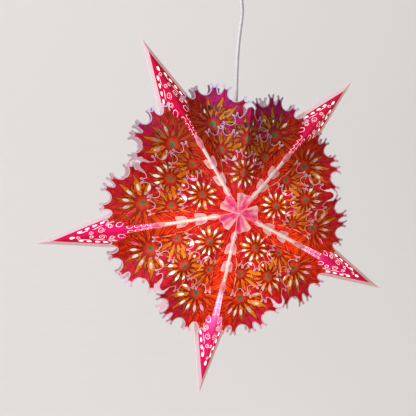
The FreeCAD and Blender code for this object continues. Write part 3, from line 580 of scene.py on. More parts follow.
def large_leaf():
    """Raised leaf on the middle fold, with a rounded end."""
    bloom = polar(LARGE_BLOOM, 0)
    end = LARGE_BLOOM + LARGE_POINT
    nose = np.array([end - LARGE_POINT_HALF, 0]) + polar(LARGE_POINT_HALF, np.linspace(0, 90, 7))
    lobes = forks(bloom, 0, LARGE_TIPS, LARGE_REACH, SMALL_FORK)
    side = beside(bloom, LARGE_SIDE, LARGE_SIDE_REACH, 0)
    root = np.array([LARGE_ROOT, LARGE_ROOT_HALF])
    edge = np.concatenate([nose, scallop(nose[-1], lobes[0], bloom, LEAF_WAIST), lobes])
    hollow = scallop(lobes[-1], side, bloom, SCALLOP)
    waist = scallop(side, root, bloom, LEAF_WAIST)
    outline = both_sides(np.concatenate([edge, hollow, side[None], waist, root[None]]))
    windows = ring_of_lenses(bloom, 0, LARGE_WINDOWS, LARGE_WINDOW_AT, WINDOW_LENGTH, WINDOW_WIDTH)
    windows = doubled(windows)
    windows.append(lens(polar(HEART_BLOOM + SPARK_AT, 0), 0, SPARK_LENGTH, SPARK_WIDTH))
    plane = lifted(SPINE_PANEL, 0, LARGE_ROOT, LEAF_GAP, LARGE_LIFT)
    creases = [(polar(LARGE_ROOT, 0), polar(end, 0))]
    return cut_card(outline, windows, creases, LEAF_GRID, [plane], around(bloom, 0), LARGE_WINDOW_AT,
                    stretch(edge), LEAF_EDGE)


def crease_leaf():
    """Raised leaf folded on the crease left of the middle fold."""
    bloom = polar(CREASE_BLOOM, CREASE)
    right = beside(CENTRE, CREASE, CREASE_ROOT, -CREASE_ROOT_HALF)
    left = beside(CENTRE, CREASE, CREASE_ROOT, CREASE_ROOT_HALF)
    lobes = forks(bloom, CREASE, CREASE_TIPS, CREASE_REACH, SMALL_FORK)
    inner = scallop(right, lobes[0], bloom, LEAF_WAIST)
    outer = scallop(lobes[-1], left, bloom, LEAF_WAIST)
    outline = np.concatenate([right[None], inner, lobes, outer, left[None]])
    planes = [lifted(side, CREASE, CREASE_ROOT, LEAF_GAP, CREASE_LIFT) for side in (RIDGE_PANEL, SPINE_PANEL)]
    creases = [(polar(CREASE_ROOT, CREASE), polar(CREASE_BLOOM + CREASE_REACH, CREASE))]
    places = around(bloom, CREASE)
    edge = stretch(lobes)
    return ridge_inked_and_shaded(cut_card(
        outline, [], creases, LEAF_GRID, planes, places, CREASE_PETAL_AT, edge, LEAF_EDGE))


def heart_leaf():
    """Small raised leaf on the middle fold, near the rosette, with a ring of windows."""
    bloom = polar(HEART_BLOOM, 0)
    lobes = forks(bloom, 0, HEART_TIPS, HEART_REACH, SMALL_FORK)
    nose = np.array([[HEART_BLOOM + HEART_REACH - FORK_LENGTH, 0.0]])
    sides = [beside(bloom, turn, HEART_SIDE_REACH, 0) for turn in (HEART_SIDE, HEART_HIP)]
    edge = np.concatenate([nose, lobes])
    outline = both_sides(np.concatenate([edge, sides, [[HEART_ROOT, HEART_ROOT_HALF]]]))
    windows = doubled(ring_of_lenses(
        bloom, 0, HEART_WINDOWS, HEART_WINDOW_AT, HEART_WINDOW_LENGTH, HEART_WINDOW_WIDTH))
    plane = lifted(SPINE_PANEL, 0, HEART_ROOT, LEAF_GAP, HEART_LIFT)
    creases = [(polar(HEART_ROOT, 0), polar(HEART_BLOOM + HEART_REACH, 0))]
    return cut_card(outline, windows, creases, HEART_GRID, [plane], around(bloom, 0), HEART_WINDOW_AT,
                    stretch(edge), LEAF_EDGE)


def arm_card():
    """Front card of an arm: two facets that fall away from the ridge, with filigree cut along their edges."""
    tip = np.array([STAR_RADIUS, 0.0])
    hole = np.array([APEX_HOLE, 0.0])
    side_edge = 180 - TIP_HALF_ANGLE
    shoulder = beside(polar(VALLEY_RADIUS, SECTOR), side_edge + 180, VALLEY_NOTCH, 0)
    root = [polar(radius, SECTOR) for radius in (VALLEY_RADIUS - VALLEY_NOTCH, APEX_HOLE)]
    half = np.array([tip, shoulder, *root, hole])
    outline = np.concatenate([half, half[-2:0:-1] * [1, -1]])

    def on_facet(from_tip, inwards):
        return beside(tip, side_edge, from_tip, inwards)
    windows = []
    for number in range(DROP_COUNT):
        middle = on_facet(DROP_FIRST + number * DROP_PITCH, DROP_IN)
        windows.append(drop(middle, side_edge, DROP_LENGTH, DROP_WIDTH))
    for first, last in STEMS:
        windows.append(tendril(on_facet(*first), on_facet(*last), STEM_RISE, LINE_WIDTH))
    for from_tip, inwards, *form in SCROLLS:
        windows.append(scroll(on_facet(from_tip, inwards), side_edge, *form))
    for along, off, size in RIDGE_LOOPS:
        windows.append(scroll(np.array([along, off]), 180, size, *RIDGE_LOOP_FORM))
    windows = doubled(windows)
    windows.append(drop(np.array([TIP_DROP[0], 0]), 180, *TIP_DROP[1:]))
    windows.append(scroll(np.array(TIP_SCROLL[0]), *TIP_SCROLL[1:]))
    edges = stretch(np.array([tip, shoulder]))
    return cut_card(outline, windows, [(hole, tip)], ARM_GRID, [FACET], edge_loops=edges)


def petal_strip():
    """Strip folded over an arm's ridge: a plain leaf at each end and two pairs of petals between them."""
    petal = np.array([STRIP_PETAL_LENGTH, STRIP_PETAL_HALF])
    low, high, wide = STRIP_OUTER_LEAF
    outer = np.array([high, 0.0])
    half = [outer[None], bow(outer, np.array([(low + high) / 2, wide]), np.array([low, STRIP_HALF]))]
    for along in STRIP_PETALS[::-1]:
        start = np.array([along, 0.0])
        root_in = np.array([along, STRIP_HALF])
        root_out = np.array([along + STRIP_PETAL_LENGTH * STRIP_PETAL_ROOT, STRIP_HALF])
        end = start + petal
        top = bow(root_out, start + petal * STRIP_PETAL_END, end)
        side = bow(end, start + petal * STRIP_PETAL_SIDE, root_in)
        half += [root_out[None], top, end[None], side, root_in[None]]
    low, high, wide = STRIP_INNER_LEAF
    inner = np.array([low, 0.0])
    half += [bow(np.array([high, STRIP_HALF]), np.array([(low + high) / 2, wide]), inner), inner[None]]
    half = np.concatenate(half)
    outline = np.concatenate([half, half[-2:0:-1] * [1, -1]])
    piece = cut_card(outline, [], [(inner, outer)], STRIP_GRID, [STRIP])
    along = piece.flat[:, 0]
    aside = np.abs(piece.flat[:, 1])
    root, rise, leaf = STRIP_TONES
    on_petals = along < STRIP_OUTER_LEAF[0]
    ridge = np.exp(-(aside / np.interp(along, *STRIP_CREAM)) ** 4) * on_petals
    wing = np.where(on_petals, root + rise * aside / STRIP_PETAL_HALF, leaf)
    return piece._replace(tone=np.maximum(wing, ridge))


def rosette_petal():
    """One petal as a grid that fans out evenly to a notched end.

    Its sides cup forward as a square and its pleats rise as a cosine.
    """
    length, across = np.meshgrid(np.linspace(0, 1, 22), np.linspace(-1, 1, 19), indexing="ij")
    half = ROSETTE_ROOT + (ROSETTE_HALF - ROSETTE_ROOT) * length
    end = np.interp(np.abs(across), (0, ROSETTE_POINT, 1), ROSETTE_END)
    first = ROSETTE_HOLE / 4
    along = first + (end - first) * length
    flat = np.stack([along.ravel(), (across * half).ravel()], axis=-1)
    apex = APEX_DEPTH - RIDGE_SLOPE * APEX_HOLE + CARD + SEAM_GAP
    pleat = np.cos(ROSETTE_PLEATS * pi * across) * length
    cup = across ** 2 * length
    depth = -apex + ROSETTE_SLOPE * along - ROSETTE_CUP * cup - ROSETTE_PLEAT * pleat
    number = np.arange(length.size).reshape(length.shape)
    a, b = number[:-1, :-1].ravel(), number[1:, :-1].ravel()
    c, d = number[1:, 1:].ravel(), number[:-1, 1:].ravel()
    faces = np.concatenate([np.stack([a, b, c], axis=-1), np.stack([a, c, d], axis=-1)])
    edge = np.minimum((1 - np.abs(across)) * half, (1 - length) * end)
    at_root, to_end, pleat_shading, side_shading = ROSETTE_TONES
    # Painted highlight and shade: lighter on the pleats' crests and on one side of the petal
    tone = at_root + to_end * length ** 2 + pleat_shading * pleat + side_shading * across
    return Piece(flat, faces, depth.ravel(), flat, edge.ravel(), tone.ravel())


# Meshes

def place_in_scene(item):
    """Puts an object into the scene."""
    bpy.context.scene.collection.objects.link(item)
    return item


def hang(piece, heading, back):
    """Places on the star: the back is turned half round its heading, then all turn to the heading."""
    places = np.stack([piece.flat[:, 0], piece.depth, piece.flat[:, 1]], axis=-1)
    if back:
        places = places * [1, -1, -1]
    turn = radians(heading - STAR_ROLL)
    x = places[:, 0] * cos(turn) - places[:, 2] * sin(turn)
    z = places[:, 0] * sin(turn) + places[:, 2] * cos(turn)
    return np.stack([x, places[:, 1], z], axis=-1) + STAR_CENTRE


def card_object(name, hung, materials):
    """One object from hung card pieces, with its print, edge and glow, thickened inwards by the card.

    Glow falls with the square of the distance from the bulb: it is 1 at the bulb and a half at GLOW_REACH.
    Above the bulb the lampholder shades it, more the steeper the way to the card.
    """
    pieces = [h[0] for h in hung]
    places = np.concatenate([hang(*h) for h in hung])
    counts = np.cumsum([0] + [len(piece.flat) for piece in pieces])
    faces = np.concatenate([piece.faces + first for piece, first in zip(pieces, counts)])
    prints, edges, tones = (np.concatenate(values) for values in zip(*(
        (piece.print, piece.edge, piece.tone) for piece in pieces)))
    way = places - BULB_MIDDLE
    far = np.sqrt((way ** 2).sum(axis=1))
    steep = np.clip((way[:, 2] / far - SHADE_FROM) / SHADE_SPAN, 0, 1)
    glow = (1 - HOLDER_SHADE * steep) / (1 + (far / GLOW_REACH) ** 2)
    mesh = bpy.data.meshes.new(name)
    mesh.from_pydata(places * MM, [], faces.tolist())
    corners = prints[faces.ravel()].astype(np.float32)
    mesh.uv_layers.new(name="bloom").uv.foreach_set("vector", corners.ravel())
    for mark, values in zip(MARKS, (edges, glow, tones)):
        mesh.attributes.new(mark, "FLOAT", "POINT").data.foreach_set("value", values.astype(np.float32))
    for material in materials:
        mesh.materials.append(material)
    card = place_in_scene(bpy.data.objects.new(name, mesh))
    wall = card.modifiers.new("card", "SOLIDIFY")
    wall.thickness = CARD * CARD_SHOWN * MM
    wall.offset = -1
    wall.material_offset = 1
    wall.material_offset_rim = 1
    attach(card, "lantern")
    return card


# Materials

def linear(code):
    """Linear colour from an sRGB hex value."""
    parts = [int(code[i:i + 2], 16) / 255 for i in (1, 3, 5)]
    return [p / 12.92 if p <= 0.04045 else ((p + 0.055) / 1.055) ** 2.4 for p in parts] + [1.0]


def feed(tree, socket, value):
    """Links an output to a socket, or sets a plain value on it."""
    if isinstance(value, bpy.types.NodeSocket):
        tree.links.new(value, socket)
    else:
        socket.default_value = value


def add(tree, kind, inputs=(), operation=None, stops=None, out=0, **settings):
    """Adds a node with its settings, feeds its inputs and gives a ramp its stops.

    Inputs are a list in the sockets' order, or named. The result is one output, or all of them for None.
    """
    node = tree.nodes.new("ShaderNode" + kind)
    if operation:
        node.operation = operation
    for key, value in settings.items():
        setattr(node, key, value)
    for key, value in inputs.items() if isinstance(inputs, dict) else enumerate(inputs):
        feed(tree, node.inputs[key], value)
    if stops:
        ramp = node.color_ramp.elements
        while len(ramp) < len(stops):
            ramp.new(0.5)
        for element, (place, code) in zip(ramp, stops.items()):
            element.position = place
            element.color = linear(code)
    return node.outputs if out is None else node.outputs[out]


def give(material, **values):
    """Feeds the sockets of a material's shader by their names."""
    tree = material.node_tree
    for key, value in values.items():
        name = key.replace("_", " ").title().replace("Ior", "IOR")
        feed(tree, tree.nodes["Principled BSDF"].inputs[name], value)
    return material


def start(name, **values):
    """New material, with plain values on its shader's own sockets, and the function that adds its nodes."""
    material = bpy.data.materials.new(name)
    material.use_nodes = True
    return give(material, **values), partial(add, material.node_tree)


def petal_rings(node, spot, radius, colour, rings):
    """Draws rings of petals over a colour, and gives the new colour and the dark lines round the petals.

    A petal's half width is a product of two powers of its length, and its length varies by chance.
    """
    step = 2 * pi / PRINTED_PETALS
    place = node("SeparateXYZ", [spot], out=None)
    angle = node("Math", [place[1], place[0]], "ARCTAN2")
    lines = 0.0
    for turned, first, last, rising, falling, width, fill in rings:
        turns = node("Math", [angle, 1 / step, turned], "MULTIPLY_ADD")
        off = node("Math", [turns, 0.5, -0.5], "WRAP")
        apart = node("Math", [off], "ABSOLUTE")
        arc = node("Math", [radius, step], "MULTIPLY")
        side = node("Math", [apart, arc], "MULTIPLY")
        number = node("Math", [turns], "ROUND")
        chance = node("TexWhiteNoise", {"W": number}, noise_dimensions="1D", out="Value")
        own = node("MapRange", [chance, 0.0, 1.0, *PETAL_CHANCE])
        reach = node("Math", [radius, own], "MULTIPLY")
        outwards = node("MapRange", [radius, first, last])
        back = node("MapRange", [reach, first, last, 1.0, 0.0])
        swell = node("Math", [outwards, rising], "POWER")
        taper = node("Math", [back, falling], "POWER")
        form = node("Math", [swell, taper], "MULTIPLY")
        within = node("Math", [form, width], "MULTIPLY")
        inset = node("Math", [within, side], "SUBTRACT")
        tone = node("MapRange", [inset, *PETAL_FILL])
        paint = node("Mix", {0: tone, 6: linear("#6E1610"), 7: fill}, **COLOURS)
        shape = node("MapRange", [inset, *PETAL_RIM])
        colour = node("Mix", {0: shape, 6: colour, 7: paint}, **COLOURS)
        line = node("Math", [shape, tone], "SUBTRACT", use_clamp=True)
        lines = node("Math", [lines, line], "MAXIMUM")
    return colour, lines


def flower_print():
    """Offset-printed, coated card: satin, with golden petals on crimson and magenta.

    Where the bulb shines through, the print turns fiery.
    """
    material, node = start("printed_flower_card", roughness=0.5, ior=1.5, specular_ior_level=0.08)
    uv = node("UVMap", uv_map="bloom")
    edge, glow, ridge = (node("Attribute", attribute_name=mark, out="Fac") for mark in MARKS)

    # Hand-drawn look: places wander by a millimetre or two and their edges ruffle
    spot = uv
    for size, reach in WAVER:
        drift = node("TexNoise", {"Vector": uv, "Scale": 1 / size, "Detail": 1.0}, out="Color")
        shift = node("VectorMath", [drift, (0.5, 0.5, 0.0)], "SUBTRACT")
        spot = node("VectorMath", [shift, (reach, reach, 0.0), spot], "MULTIPLY_ADD")
    radius = node("VectorMath", [spot], "LENGTH", out="Value")

    # Streaks that spread from the flower: noise stretched along the radius
    ray = node("VectorMath", [spot], "NORMALIZE")
    depth = node("Math", [radius, 1 / STREAK_LENGTH], "MULTIPLY")
    rise = node("CombineXYZ", {2: depth})
    spread = node("VectorMath", [ray, [STREAK_COUNT] * 3, rise], "MULTIPLY_ADD")
    streaks = node("TexNoise", {"Vector": spread, "Scale": 1.0, "Detail": 3.0}, out="Fac")
    rust = node("ValToRGB", [streaks], stops={
        0.32: "#4E0808", 0.41: "#94100A", 0.47: "#BC3408", 0.52: "#7E0E0A", 0.57: "#4E0808",
        0.62: "#B03A0A", 0.70: "#8A100A",
    })

    # Crimson, magenta and plum patches on the side of the middle fold: plum and magenta where the bulb's
    # light is least, crimson where it shines through, which is painted light
    patches = node("TexNoise", {"Vector": uv, "Scale": 1 / PATCH_SIZE, "Detail": 1.0}, out="Fac")
    plum = node("ValToRGB", [patches], stops={
        0.36: "#8E1420", 0.45: "#B01444", 0.52: "#BE1870", 0.59: "#7A1B62", 0.67: "#B0201E",
    })
    crimson = node("ValToRGB", [patches], stops={
        0.36: "#860A0A", 0.46: "#AC120A", 0.53: "#B41426", 0.59: "#9A0E0A", 0.68: "#C03C0C",
    })
    backlit_share = node("ValToRGB", [glow], stops={
        0.10: "#000000", 0.13: "#F4F4F4", 0.26: "#F4F4F4", 0.30: "#D0D0D0", 0.34: "#F4F4F4",
    })
    ground = node("Mix", {0: backlit_share, 6: plum, 7: crimson}, **COLOURS)
    # On the ridge's side the ground is rust streaks: painted shade
    colour = node("Mix", {0: ridge, 6: ground, 7: rust}, **COLOURS)

    # Inks of the petals: yellow, more amber where some light comes through and more orange near the bulb
    yellow = node("ValToRGB", [streaks], stops={
        0.34: "#8A3408", 0.41: "#C06C0E", 0.49: "#DE9A18", 0.55: "#B8600C", 0.62: "#DA9016",
        0.70: "#94400A",
    })
    amber = node("ValToRGB", [streaks], stops={
        0.34: "#7A2608", 0.41: "#A84A0C", 0.49: "#CA6C12", 0.55: "#A0440A", 0.62: "#C26210",
        0.70: "#842E0A",
    })
    orange = node("ValToRGB", [streaks], stops={0.40: "#B8500A", 0.50: "#EC8C16", 0.60: "#C8640E"})
    midway = node("ValToRGB", [glow], stops={
        0.09: "#000000", 0.14: "#D0D0D0", 0.30: "#D0D0D0", 0.36: "#404040",
    })
    near = node("MapRange", [glow, 0.30, 0.42, 0.0, 0.85])
    yellow = node("Mix", {0: midway, 6: yellow, 7: amber}, **COLOURS)
    yellow = node("Mix", {0: near, 6: yellow, 7: orange}, **COLOURS)
    # Duller, darker petal inks on the ridge's side: painted shade
    gold = node("Mix", {0: ridge, 6: yellow, 7: linear("#9C3E0A")}, **COLOURS)
    ochre = node("Mix", {0: ridge, 6: linear("#BC6812"), 7: linear("#92320A")}, **COLOURS)

    # Short and long golden petals, then dark flames at their roots: turn in steps from petal to petal, start
    # and end, the two powers, width and ink
    colour, lines = petal_rings(node, spot, radius, colour, (
        (0.0, 13.0, 37.0, 0.9, 1.3, 8.0, ochre),
        (-0.5, 11.0, 49.0, 0.75, 1.35, 15.5, gold),
        (0.0, 8.0, 21.0, 0.9, 1.2, 8.0, ground),
    ))

    # Rust heart and green eye, which dulls where the bulb shines through
    heart = node("MapRange", [radius, *FLOWER_HEART, 0.0, 0.9])
    colour = node("Mix", {0: heart, 6: colour, 7: linear("#BC3A16")}, **COLOURS)
    oval = node("VectorMath", [uv, (0.8, 1.0, 1.0)], "MULTIPLY")
    from_eye = node("VectorMath", [oval], "LENGTH", out="Value")
    green = node("ValToRGB", [glow], stops={
        0.05: "#2F9E7A", 0.10: "#5E7A50", 0.2: "#6C6440", 0.3: "#6A6E4A",
    })
    eye = node("MapRange", [from_eye, *FLOWER_EYE])
    colour = node("Mix", {0: eye, 6: colour, 7: green}, **COLOURS)

    # Flames that the bulb brings out, more of them on the ridge's side, where the card is lit more
    flames = node("ValToRGB", [streaks], stops={
        0.30: "#6A0406", 0.40: "#D00C04", 0.47: "#F03404", 0.52: "#CC0C04", 0.57: "#7A0606",
        0.62: "#E81C04", 0.70: "#F47008",
    })
    open_fire = node("MapRange", [ridge, 0.0, 1.0, 0.35, 0.6])
    lit = node("MapRange", [eye, 0.0, 1.0, open_fire, 0.0])
    fire = node("Mix", {0: lit, 6: colour, 7: flames}, **COLOURS)
    fire = node("Mix", {0: lines, 6: fire, 7: linear("#3A0406")}, **COLOURS)
    # Painted glow of the bulb's light through the card, stronger on the ridge's side
    light = node("MapRange", [glow, 0.05, 0.42, 0.04, 0.9])
    ridge_side_glow = node("MapRange", [ridge, 0.0, 1.0, 1.0, 1.6])
    light = node("Math", [light, ridge_side_glow], "MULTIPLY")

    # Pale margin of the die cut, lavender where little of the bulb's light reaches and pinker where more
    # does: painted light
    pale = node("ValToRGB", [glow], stops={0.06: "#D6CCEA", 0.14: "#DCB6C8", 0.3: "#E2BAC4"})
    margin = node("MapRange", [edge, *SHEET_MARGIN])
    colour = node("Mix", {0: margin, 6: colour, 7: pale}, **COLOURS)
    fire = node("Mix", {0: margin, 6: fire, 7: linear("#A88488")}, **COLOURS)
    return give(material, base_color=colour, emission_color=fire, emission_strength=light)


def bare_card(name, low, high, least, inner_shade, edge_light):
    """Unprinted back of the card: matt, fibrous white, which the bulb warms between two steps of glow.

    Away from the cut edge it darkens to a dark mauve, painted shade of the star's unlit inside; at the edge
    the bulb's light is weaker.
    """
    material, node = start(name, roughness=0.85, ior=1.5)
    edge, glow = (node("Attribute", attribute_name=mark, out="Fac") for mark in MARKS[:2])
    spot = node("TexCoord", out="Object")
    fibre = node("TexNoise", {"Vector": spot, "Scale": 1 / (FIBRE_SIZE * MM), "Detail": 3.0}, out="Fac")
    white = node("ValToRGB", [fibre], stops={0.3: "#C4B0BA", 0.7: "#D4C2CA"})
    # Painted shade: the bare back turns dark mauve away from the cut edge
    inner = node("MapRange", [edge, *INNER_SHADE_SPAN, 0.0, inner_shade])
    white = node("Mix", {0: inner, 6: white, 7: linear("#4A2A34")}, **COLOURS)
    warm = node("ValToRGB", [glow], stops={0.03: "#FFD8D0", 0.2: "#FFE2D8", 0.4: "#FFF0E2"})
    reached = node("MapRange", [edge, *EDGE_SHADE, edge_light, 1.0])
    light = node("MapRange", [glow, low, high, least, 1.3])
    light = node("Math", [light, reached], "MULTIPLY")
    return give(material, base_color=white, emission_color=warm, emission_strength=light)


def pink_print():
    """Printed card of the arms: satin, hot pink in the room's light, red and then pale pink towards the bulb.

    Round the rosette it is cream with a pink blush and a red line along the ridge; its margin is pale.
    """
    material, node = start("printed_pink_card", roughness=0.5, ior=1.5, specular_ior_level=0.08)
    edge, glow = (node("Attribute", attribute_name=mark, out="Fac") for mark in MARKS[:2])
    uv = node("UVMap", uv_map="bloom")
    place = node("SeparateXYZ", [uv], out=None)
    ink = node("ValToRGB", [glow], stops={
        0.03: "#C80636", 0.10: "#CE0850", 0.24: "#DC147C", 0.30: "#F060A4", 0.38: "#FAA4CC",
    })
    through = node("ValToRGB", [glow], stops={
        0.03: "#B00210", 0.09: "#C80410", 0.16: "#D80618", 0.24: "#EC1048", 0.30: "#FA5094",
        0.38: "#FF98C4",
    })
    aside = node("Math", [place[1]], "ABSOLUTE")
    bud = node("MapRange", [place[0], *ARM_BUD])
    bare = node("MapRange", [aside, *ARM_BLUSH])
    cloud = node("TexNoise", {"Vector": uv, "Scale": 1 / BLUSH_SIZE, "Detail": 0.0}, out="Fac")
    blush = node("ValToRGB", [cloud], stops={0.42: "#FFF4E6", 0.62: "#FF9CC4"})
    root = node("Mix", {0: bare, 6: linear("#C81820"), 7: blush}, **COLOURS)
    ink = node("Mix", {0: bud, 6: ink, 7: root}, **COLOURS)
    through = node("Mix", {0: bud, 6: through, 7: root}, **COLOURS)
    margin = node("MapRange", [edge, *ARM_MARGIN])
    colour = node("Mix", {0: margin, 6: ink, 7: linear("#C2C0CE")}, **COLOURS)
    shine = node("Mix", {0: margin, 6: through, 7: linear("#D88C68")}, **COLOURS)
    light = node("MapRange", [glow, 0.03, 0.45, 0.22, 0.75])
    light = node("Mix", {0: margin, 2: light, 3: 0.5})
    return give(material, base_color=colour, emission_color=shine, emission_strength=light)


def petal_print():
    """Printed petals of the rosette and the ridges: a little shinier than the sheets.

    They are deep pink at the root, peach at the end and cream along a ridge, with clouds in the ink.
    """
    material, node = start("printed_petal_card", roughness=0.45, ior=1.5, specular_ior_level=0.3)
    edge, glow, tone = (node("Attribute", attribute_name=mark, out="Fac") for mark in MARKS)
    spot = node("TexCoord", out="Object")
    cloud = node("TexNoise", {"Vector": spot, "Scale": 1 / (CLOUD_SIZE * MM), "Detail": 2.0}, out="Fac")
    drift = node("Math", [cloud, 0.9, -0.45], "MULTIPLY_ADD")
    level = node("Math", [tone, drift], "ADD")
    ink = node("ValToRGB", [level], stops={
        0.10: "#E42458", 0.28: "#F2447A", 0.42: "#F66E92", 0.58: "#F8A6A2", 0.82: "#F8CCB8",
        0.94: "#FFF3E2",
    })
    margin = node("MapRange", [edge, *PETAL_MARGIN, 0.0, 0.6])
    colour = node("Mix", {0: margin, 6: ink, 7: linear("#F8D0C4")}, **COLOURS)
    # Painted glow of the bulb's light through the petals
    light = node("Math", [glow, 0.75], "MULTIPLY")
    return give(material, base_color=colour, emission_color=colour, emission_strength=light)


def mottled(name, low, high, size, **values):
    """Plain finish whose tone drifts between two close colours over a real size in millimetres."""
    material, node = start(name, **values)
    spot = node("TexCoord", out="Object")
    drift = node("TexNoise", {"Vector": spot, "Scale": 1 / (size * MM), "Detail": 3.0}, out="Fac")
    return give(material, base_color=node("ValToRGB", [drift], stops={0.35: low, 0.65: high}))


def white_pvc(name):
    """Extruded PVC of the flex: soft, slightly grey white with a dull shine."""
    return mottled(name, "#E2DEDC", "#EFECEA", 6, roughness=0.38, ior=1.53)


# Camera, cord and studio

def look():
    """Camera at the photograph's viewing angle, rolled so that the flex leans a little to the right."""
    data = bpy.data.cameras.new("camera")
    data.lens = LENS
    data.shift_x, data.shift_y = SHIFT
    camera = place_in_scene(bpy.data.objects.new("camera", data))
    place = Matrix.Translation(Vector(STAR_CENTRE * MM))
    for degrees, axis in ((VIEW_AZIMUTH, "Z"), (90 - VIEW_ELEVATION, "X"), (VIEW_ROLL, "Z")):
        place = place @ Matrix.Rotation(radians(degrees), 4, axis)
    camera.matrix_world = place @ Matrix.Translation((0, 0, VIEW_DISTANCE * MM))
    bpy.context.scene.camera = camera


def flex():
    """White twin flex as a round cord on a smooth curve through the route's points."""
    data = bpy.data.curves.new("flex", "CURVE")
    data.dimensions = "3D"
    data.bevel_depth = FLEX_DIAMETER / 2 * MM
    data.bevel_resolution = 5
    data.resolution_u = 8
    data.use_fill_caps = True
    spline = data.splines.new("NURBS")
    spline.points.add(len(FLEX_ROUTE) - 1)
    for point, (x, z) in zip(spline.points, FLEX_ROUTE):
        point.co = (x * MM, 0, z * MM, 1)
    spline.order_u = 3
    spline.use_endpoint_u = True
    data.materials.append(white_pvc("white_pvc"))
    cord = place_in_scene(bpy.data.objects.new("flex", data))
    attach(cord, "flex")
    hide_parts("flex_cord")


def is_seen(node):
    """1 where the surroundings are seen, in gloss and through glass too, and 0 where they light the star."""
    path = node("LightPath", out=None)
    seen = path["Is Camera Ray"]
    for kind in ("Is Glossy Ray", "Is Transmission Ray"):
        seen = node("Math", [seen, path[kind]], "MAXIMUM")
    return seen


def backdrop_paper():
    """Matt, pale paper: where it is seen, most of its brightness is its own, so that it stays even."""
    material, node = start("backdrop_paper", roughness=0.9, specular_ior_level=0.2)
    seen = is_seen(node)
    own = node("Math", [seen, PAPER_SEEN], "MULTIPLY")
    tone = node("Mix", {0: seen, 6: linear("#E8E4E1"), 7: linear("#A4A19E")}, **COLOURS)
    return give(material, base_color=tone, emission_color=linear("#EAE6E3"), emission_strength=own)


def studio():
    """Plain pale floor that sweeps up into a backdrop by a quarter circle, soft lamps and an even sky."""
    turn = np.linspace(0, pi / 2, 24)
    sweep_y = BACKDROP - BACKDROP_BEND * (1 - np.sin(turn))
    sweep_z = FLOOR + BACKDROP_BEND * (1 - np.cos(turn))
    profile_y = np.concatenate([[FLOOR_FRONT], sweep_y, [BACKDROP]])
    profile_z = np.concatenate([[FLOOR], sweep_z, [BACKDROP_TOP]])
    x = np.tile([-BACKDROP_HALF, BACKDROP_HALF], len(profile_y))
    number = np.arange(len(profile_y) - 1) * 2
    faces = np.stack([number, number + 1, number + 3, number + 2], axis=-1)
    mesh = bpy.data.meshes.new("backdrop")
    places = np.stack([x, np.repeat(profile_y, 2), np.repeat(profile_z, 2)], axis=-1)
    mesh.from_pydata(places, [], faces.tolist())
    mesh.materials.append(backdrop_paper())
    place_in_scene(bpy.data.objects.new("backdrop", mesh))
    star = tuple(STAR_CENTRE * MM)
    for name, place, aim, size, power, tint in (
        ("key", (-2.0, -0.9, 0.55), star, 1.2, 46.0, "#F4F4FF"),
        ("fill", (0.9, -2.3, 0.2), star, 1.8, 2.5, "#FFFFFF"),
        ("backdrop_wash", (0.2, 0.5, 1.6), (0.2, BACKDROP, -0.5), 2.4, 12.0, "#FFFFFF"),
    ):
        data = bpy.data.lights.new(name, "AREA")
        data.size = size
        data.energy = power
        data.color = linear(tint)[:3]
        lamp = place_in_scene(bpy.data.objects.new(name, data))
        lamp.location = place
        lamp.rotation_euler = (Vector(aim) - Vector(place)).to_track_quat("-Z", "Y").to_euler()
    world = bpy.data.worlds.new("sky")
    world.use_nodes = True
    tree = world.node_tree
    node = partial(add, tree)
    sky = tree.nodes["Background"].inputs
    feed(tree, sky["Color"], linear("#F4F2F0"))
    feed(tree, sky["Strength"], node("MapRange", [is_seen(node), 0.0, 1.0, SKY_LIGHT, SKY_SEEN]))
    bpy.context.scene.world = world


# Pieces

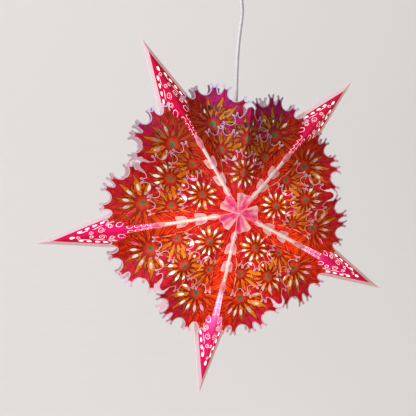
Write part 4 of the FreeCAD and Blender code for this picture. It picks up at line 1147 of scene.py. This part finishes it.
def dress_nodes():
    """Finishes of the rose, lampholder and bulb, which keep their solids."""
    finishes = {
        # Moulded urea: hard, ivory white, with a soft gloss
        "gloss_plastic": mottled("moulded_white_urea", "#E4E1D8", "#EEECE4", 20, roughness=0.28, ior=1.6),
        # Brass as it was turned and bent: warm yellow metal with a broad shine
        "brass": mottled("plain_brass", "#C59A4A", "#D6AE62", 5, roughness=0.3, metallic=1.0),
        # Unglazed porcelain: chalky white, nearly without gloss
        "ceramic": mottled("unglazed_porcelain", "#E6E1D8", "#F0ECE4", 4, roughness=0.6, ior=1.5),
        # Pressed aluminium: pale grey metal, a little duller than the brass
        "aluminium": mottled("pressed_aluminium", "#BDBEC0", "#CCCDCF", 4, roughness=0.35, metallic=1.0),
        # Blown glass, frosted inside: an even white that the lamp fills with warm light
        "glass": mottled("opal_glass", "#FFF3DE", "#FFF8EC", 15, roughness=0.3, ior=1.5,
                         emission_color=linear("#FFEBC8"), emission_strength=3.0),
        "matte_plastic": white_pvc("white_pvc_knot"),
    }
    kinds = {material["slot"]: material["class"] for material in frame["record"]["materials"]}
    for row in frame["record"]["subparts"]:
        node = frame["nodes"][row["node"]]
        finish = finishes.get(kinds[row["material_slot"]])
        if finish:
            node.data.materials.clear()
            node.data.materials.append(finish)


def paper_star():
    """Every card piece, front and back."""
    white = bare_card("bare_white_card", low=0.105, high=0.32, least=0.0, inner_shade=0.9, edge_light=0.1)
    inside_arm = bare_card("bare_white_card_inside", low=0.02, high=0.3, least=0.9, inner_shade=0.0,
                           edge_light=1.0)
    flower = [flower_print(), white]
    pink = [pink_print(), inside_arm]
    petal = [petal_print(), white]
    sheet = flower_sheet()
    crease = crease_leaf()
    leaves = [large_leaf(), crease, mirrored(crease), heart_leaf()]
    arm = arm_card()
    strip = petal_strip()
    one_petal = rosette_petal()
    for side in ("front", "back"):
        back = side == "back"
        for number in range(ARM_COUNT):
            ridge = FIRST_RIDGE - 2 * SECTOR * number
            middle = ridge - SECTOR
            for name, pieces, heading, finish, slot in (
                ("arm", [arm], ridge, pink, "pink_card"),
                ("flower_sheet", [sheet], middle, flower, "flower_card"),
                ("flower_leaves", leaves, middle, flower, "leaf_card"),
            ):
                node = f"{name}_{side}_{number + 1}"
                card = card_object(f"card_{node}", [(piece, heading, back) for piece in pieces], finish)
                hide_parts(node)
        turn = FIRST_RIDGE - SECTOR - ROSETTE_TURN
        if back:
            turn = -turn
        for name, piece, first in (("petal_strips", strip, FIRST_RIDGE), ("rosette", one_petal, turn)):
            hung = [(piece, first + 2 * SECTOR * number, back) for number in range(ARM_COUNT)]
            card = card_object(f"card_{name}_{side}", hung, petal)
            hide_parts(f"{name}_{side}")


bpy.context.scene.view_settings.view_transform = "Standard"
look()
flex()
studio()
dress_nodes()
paper_star()
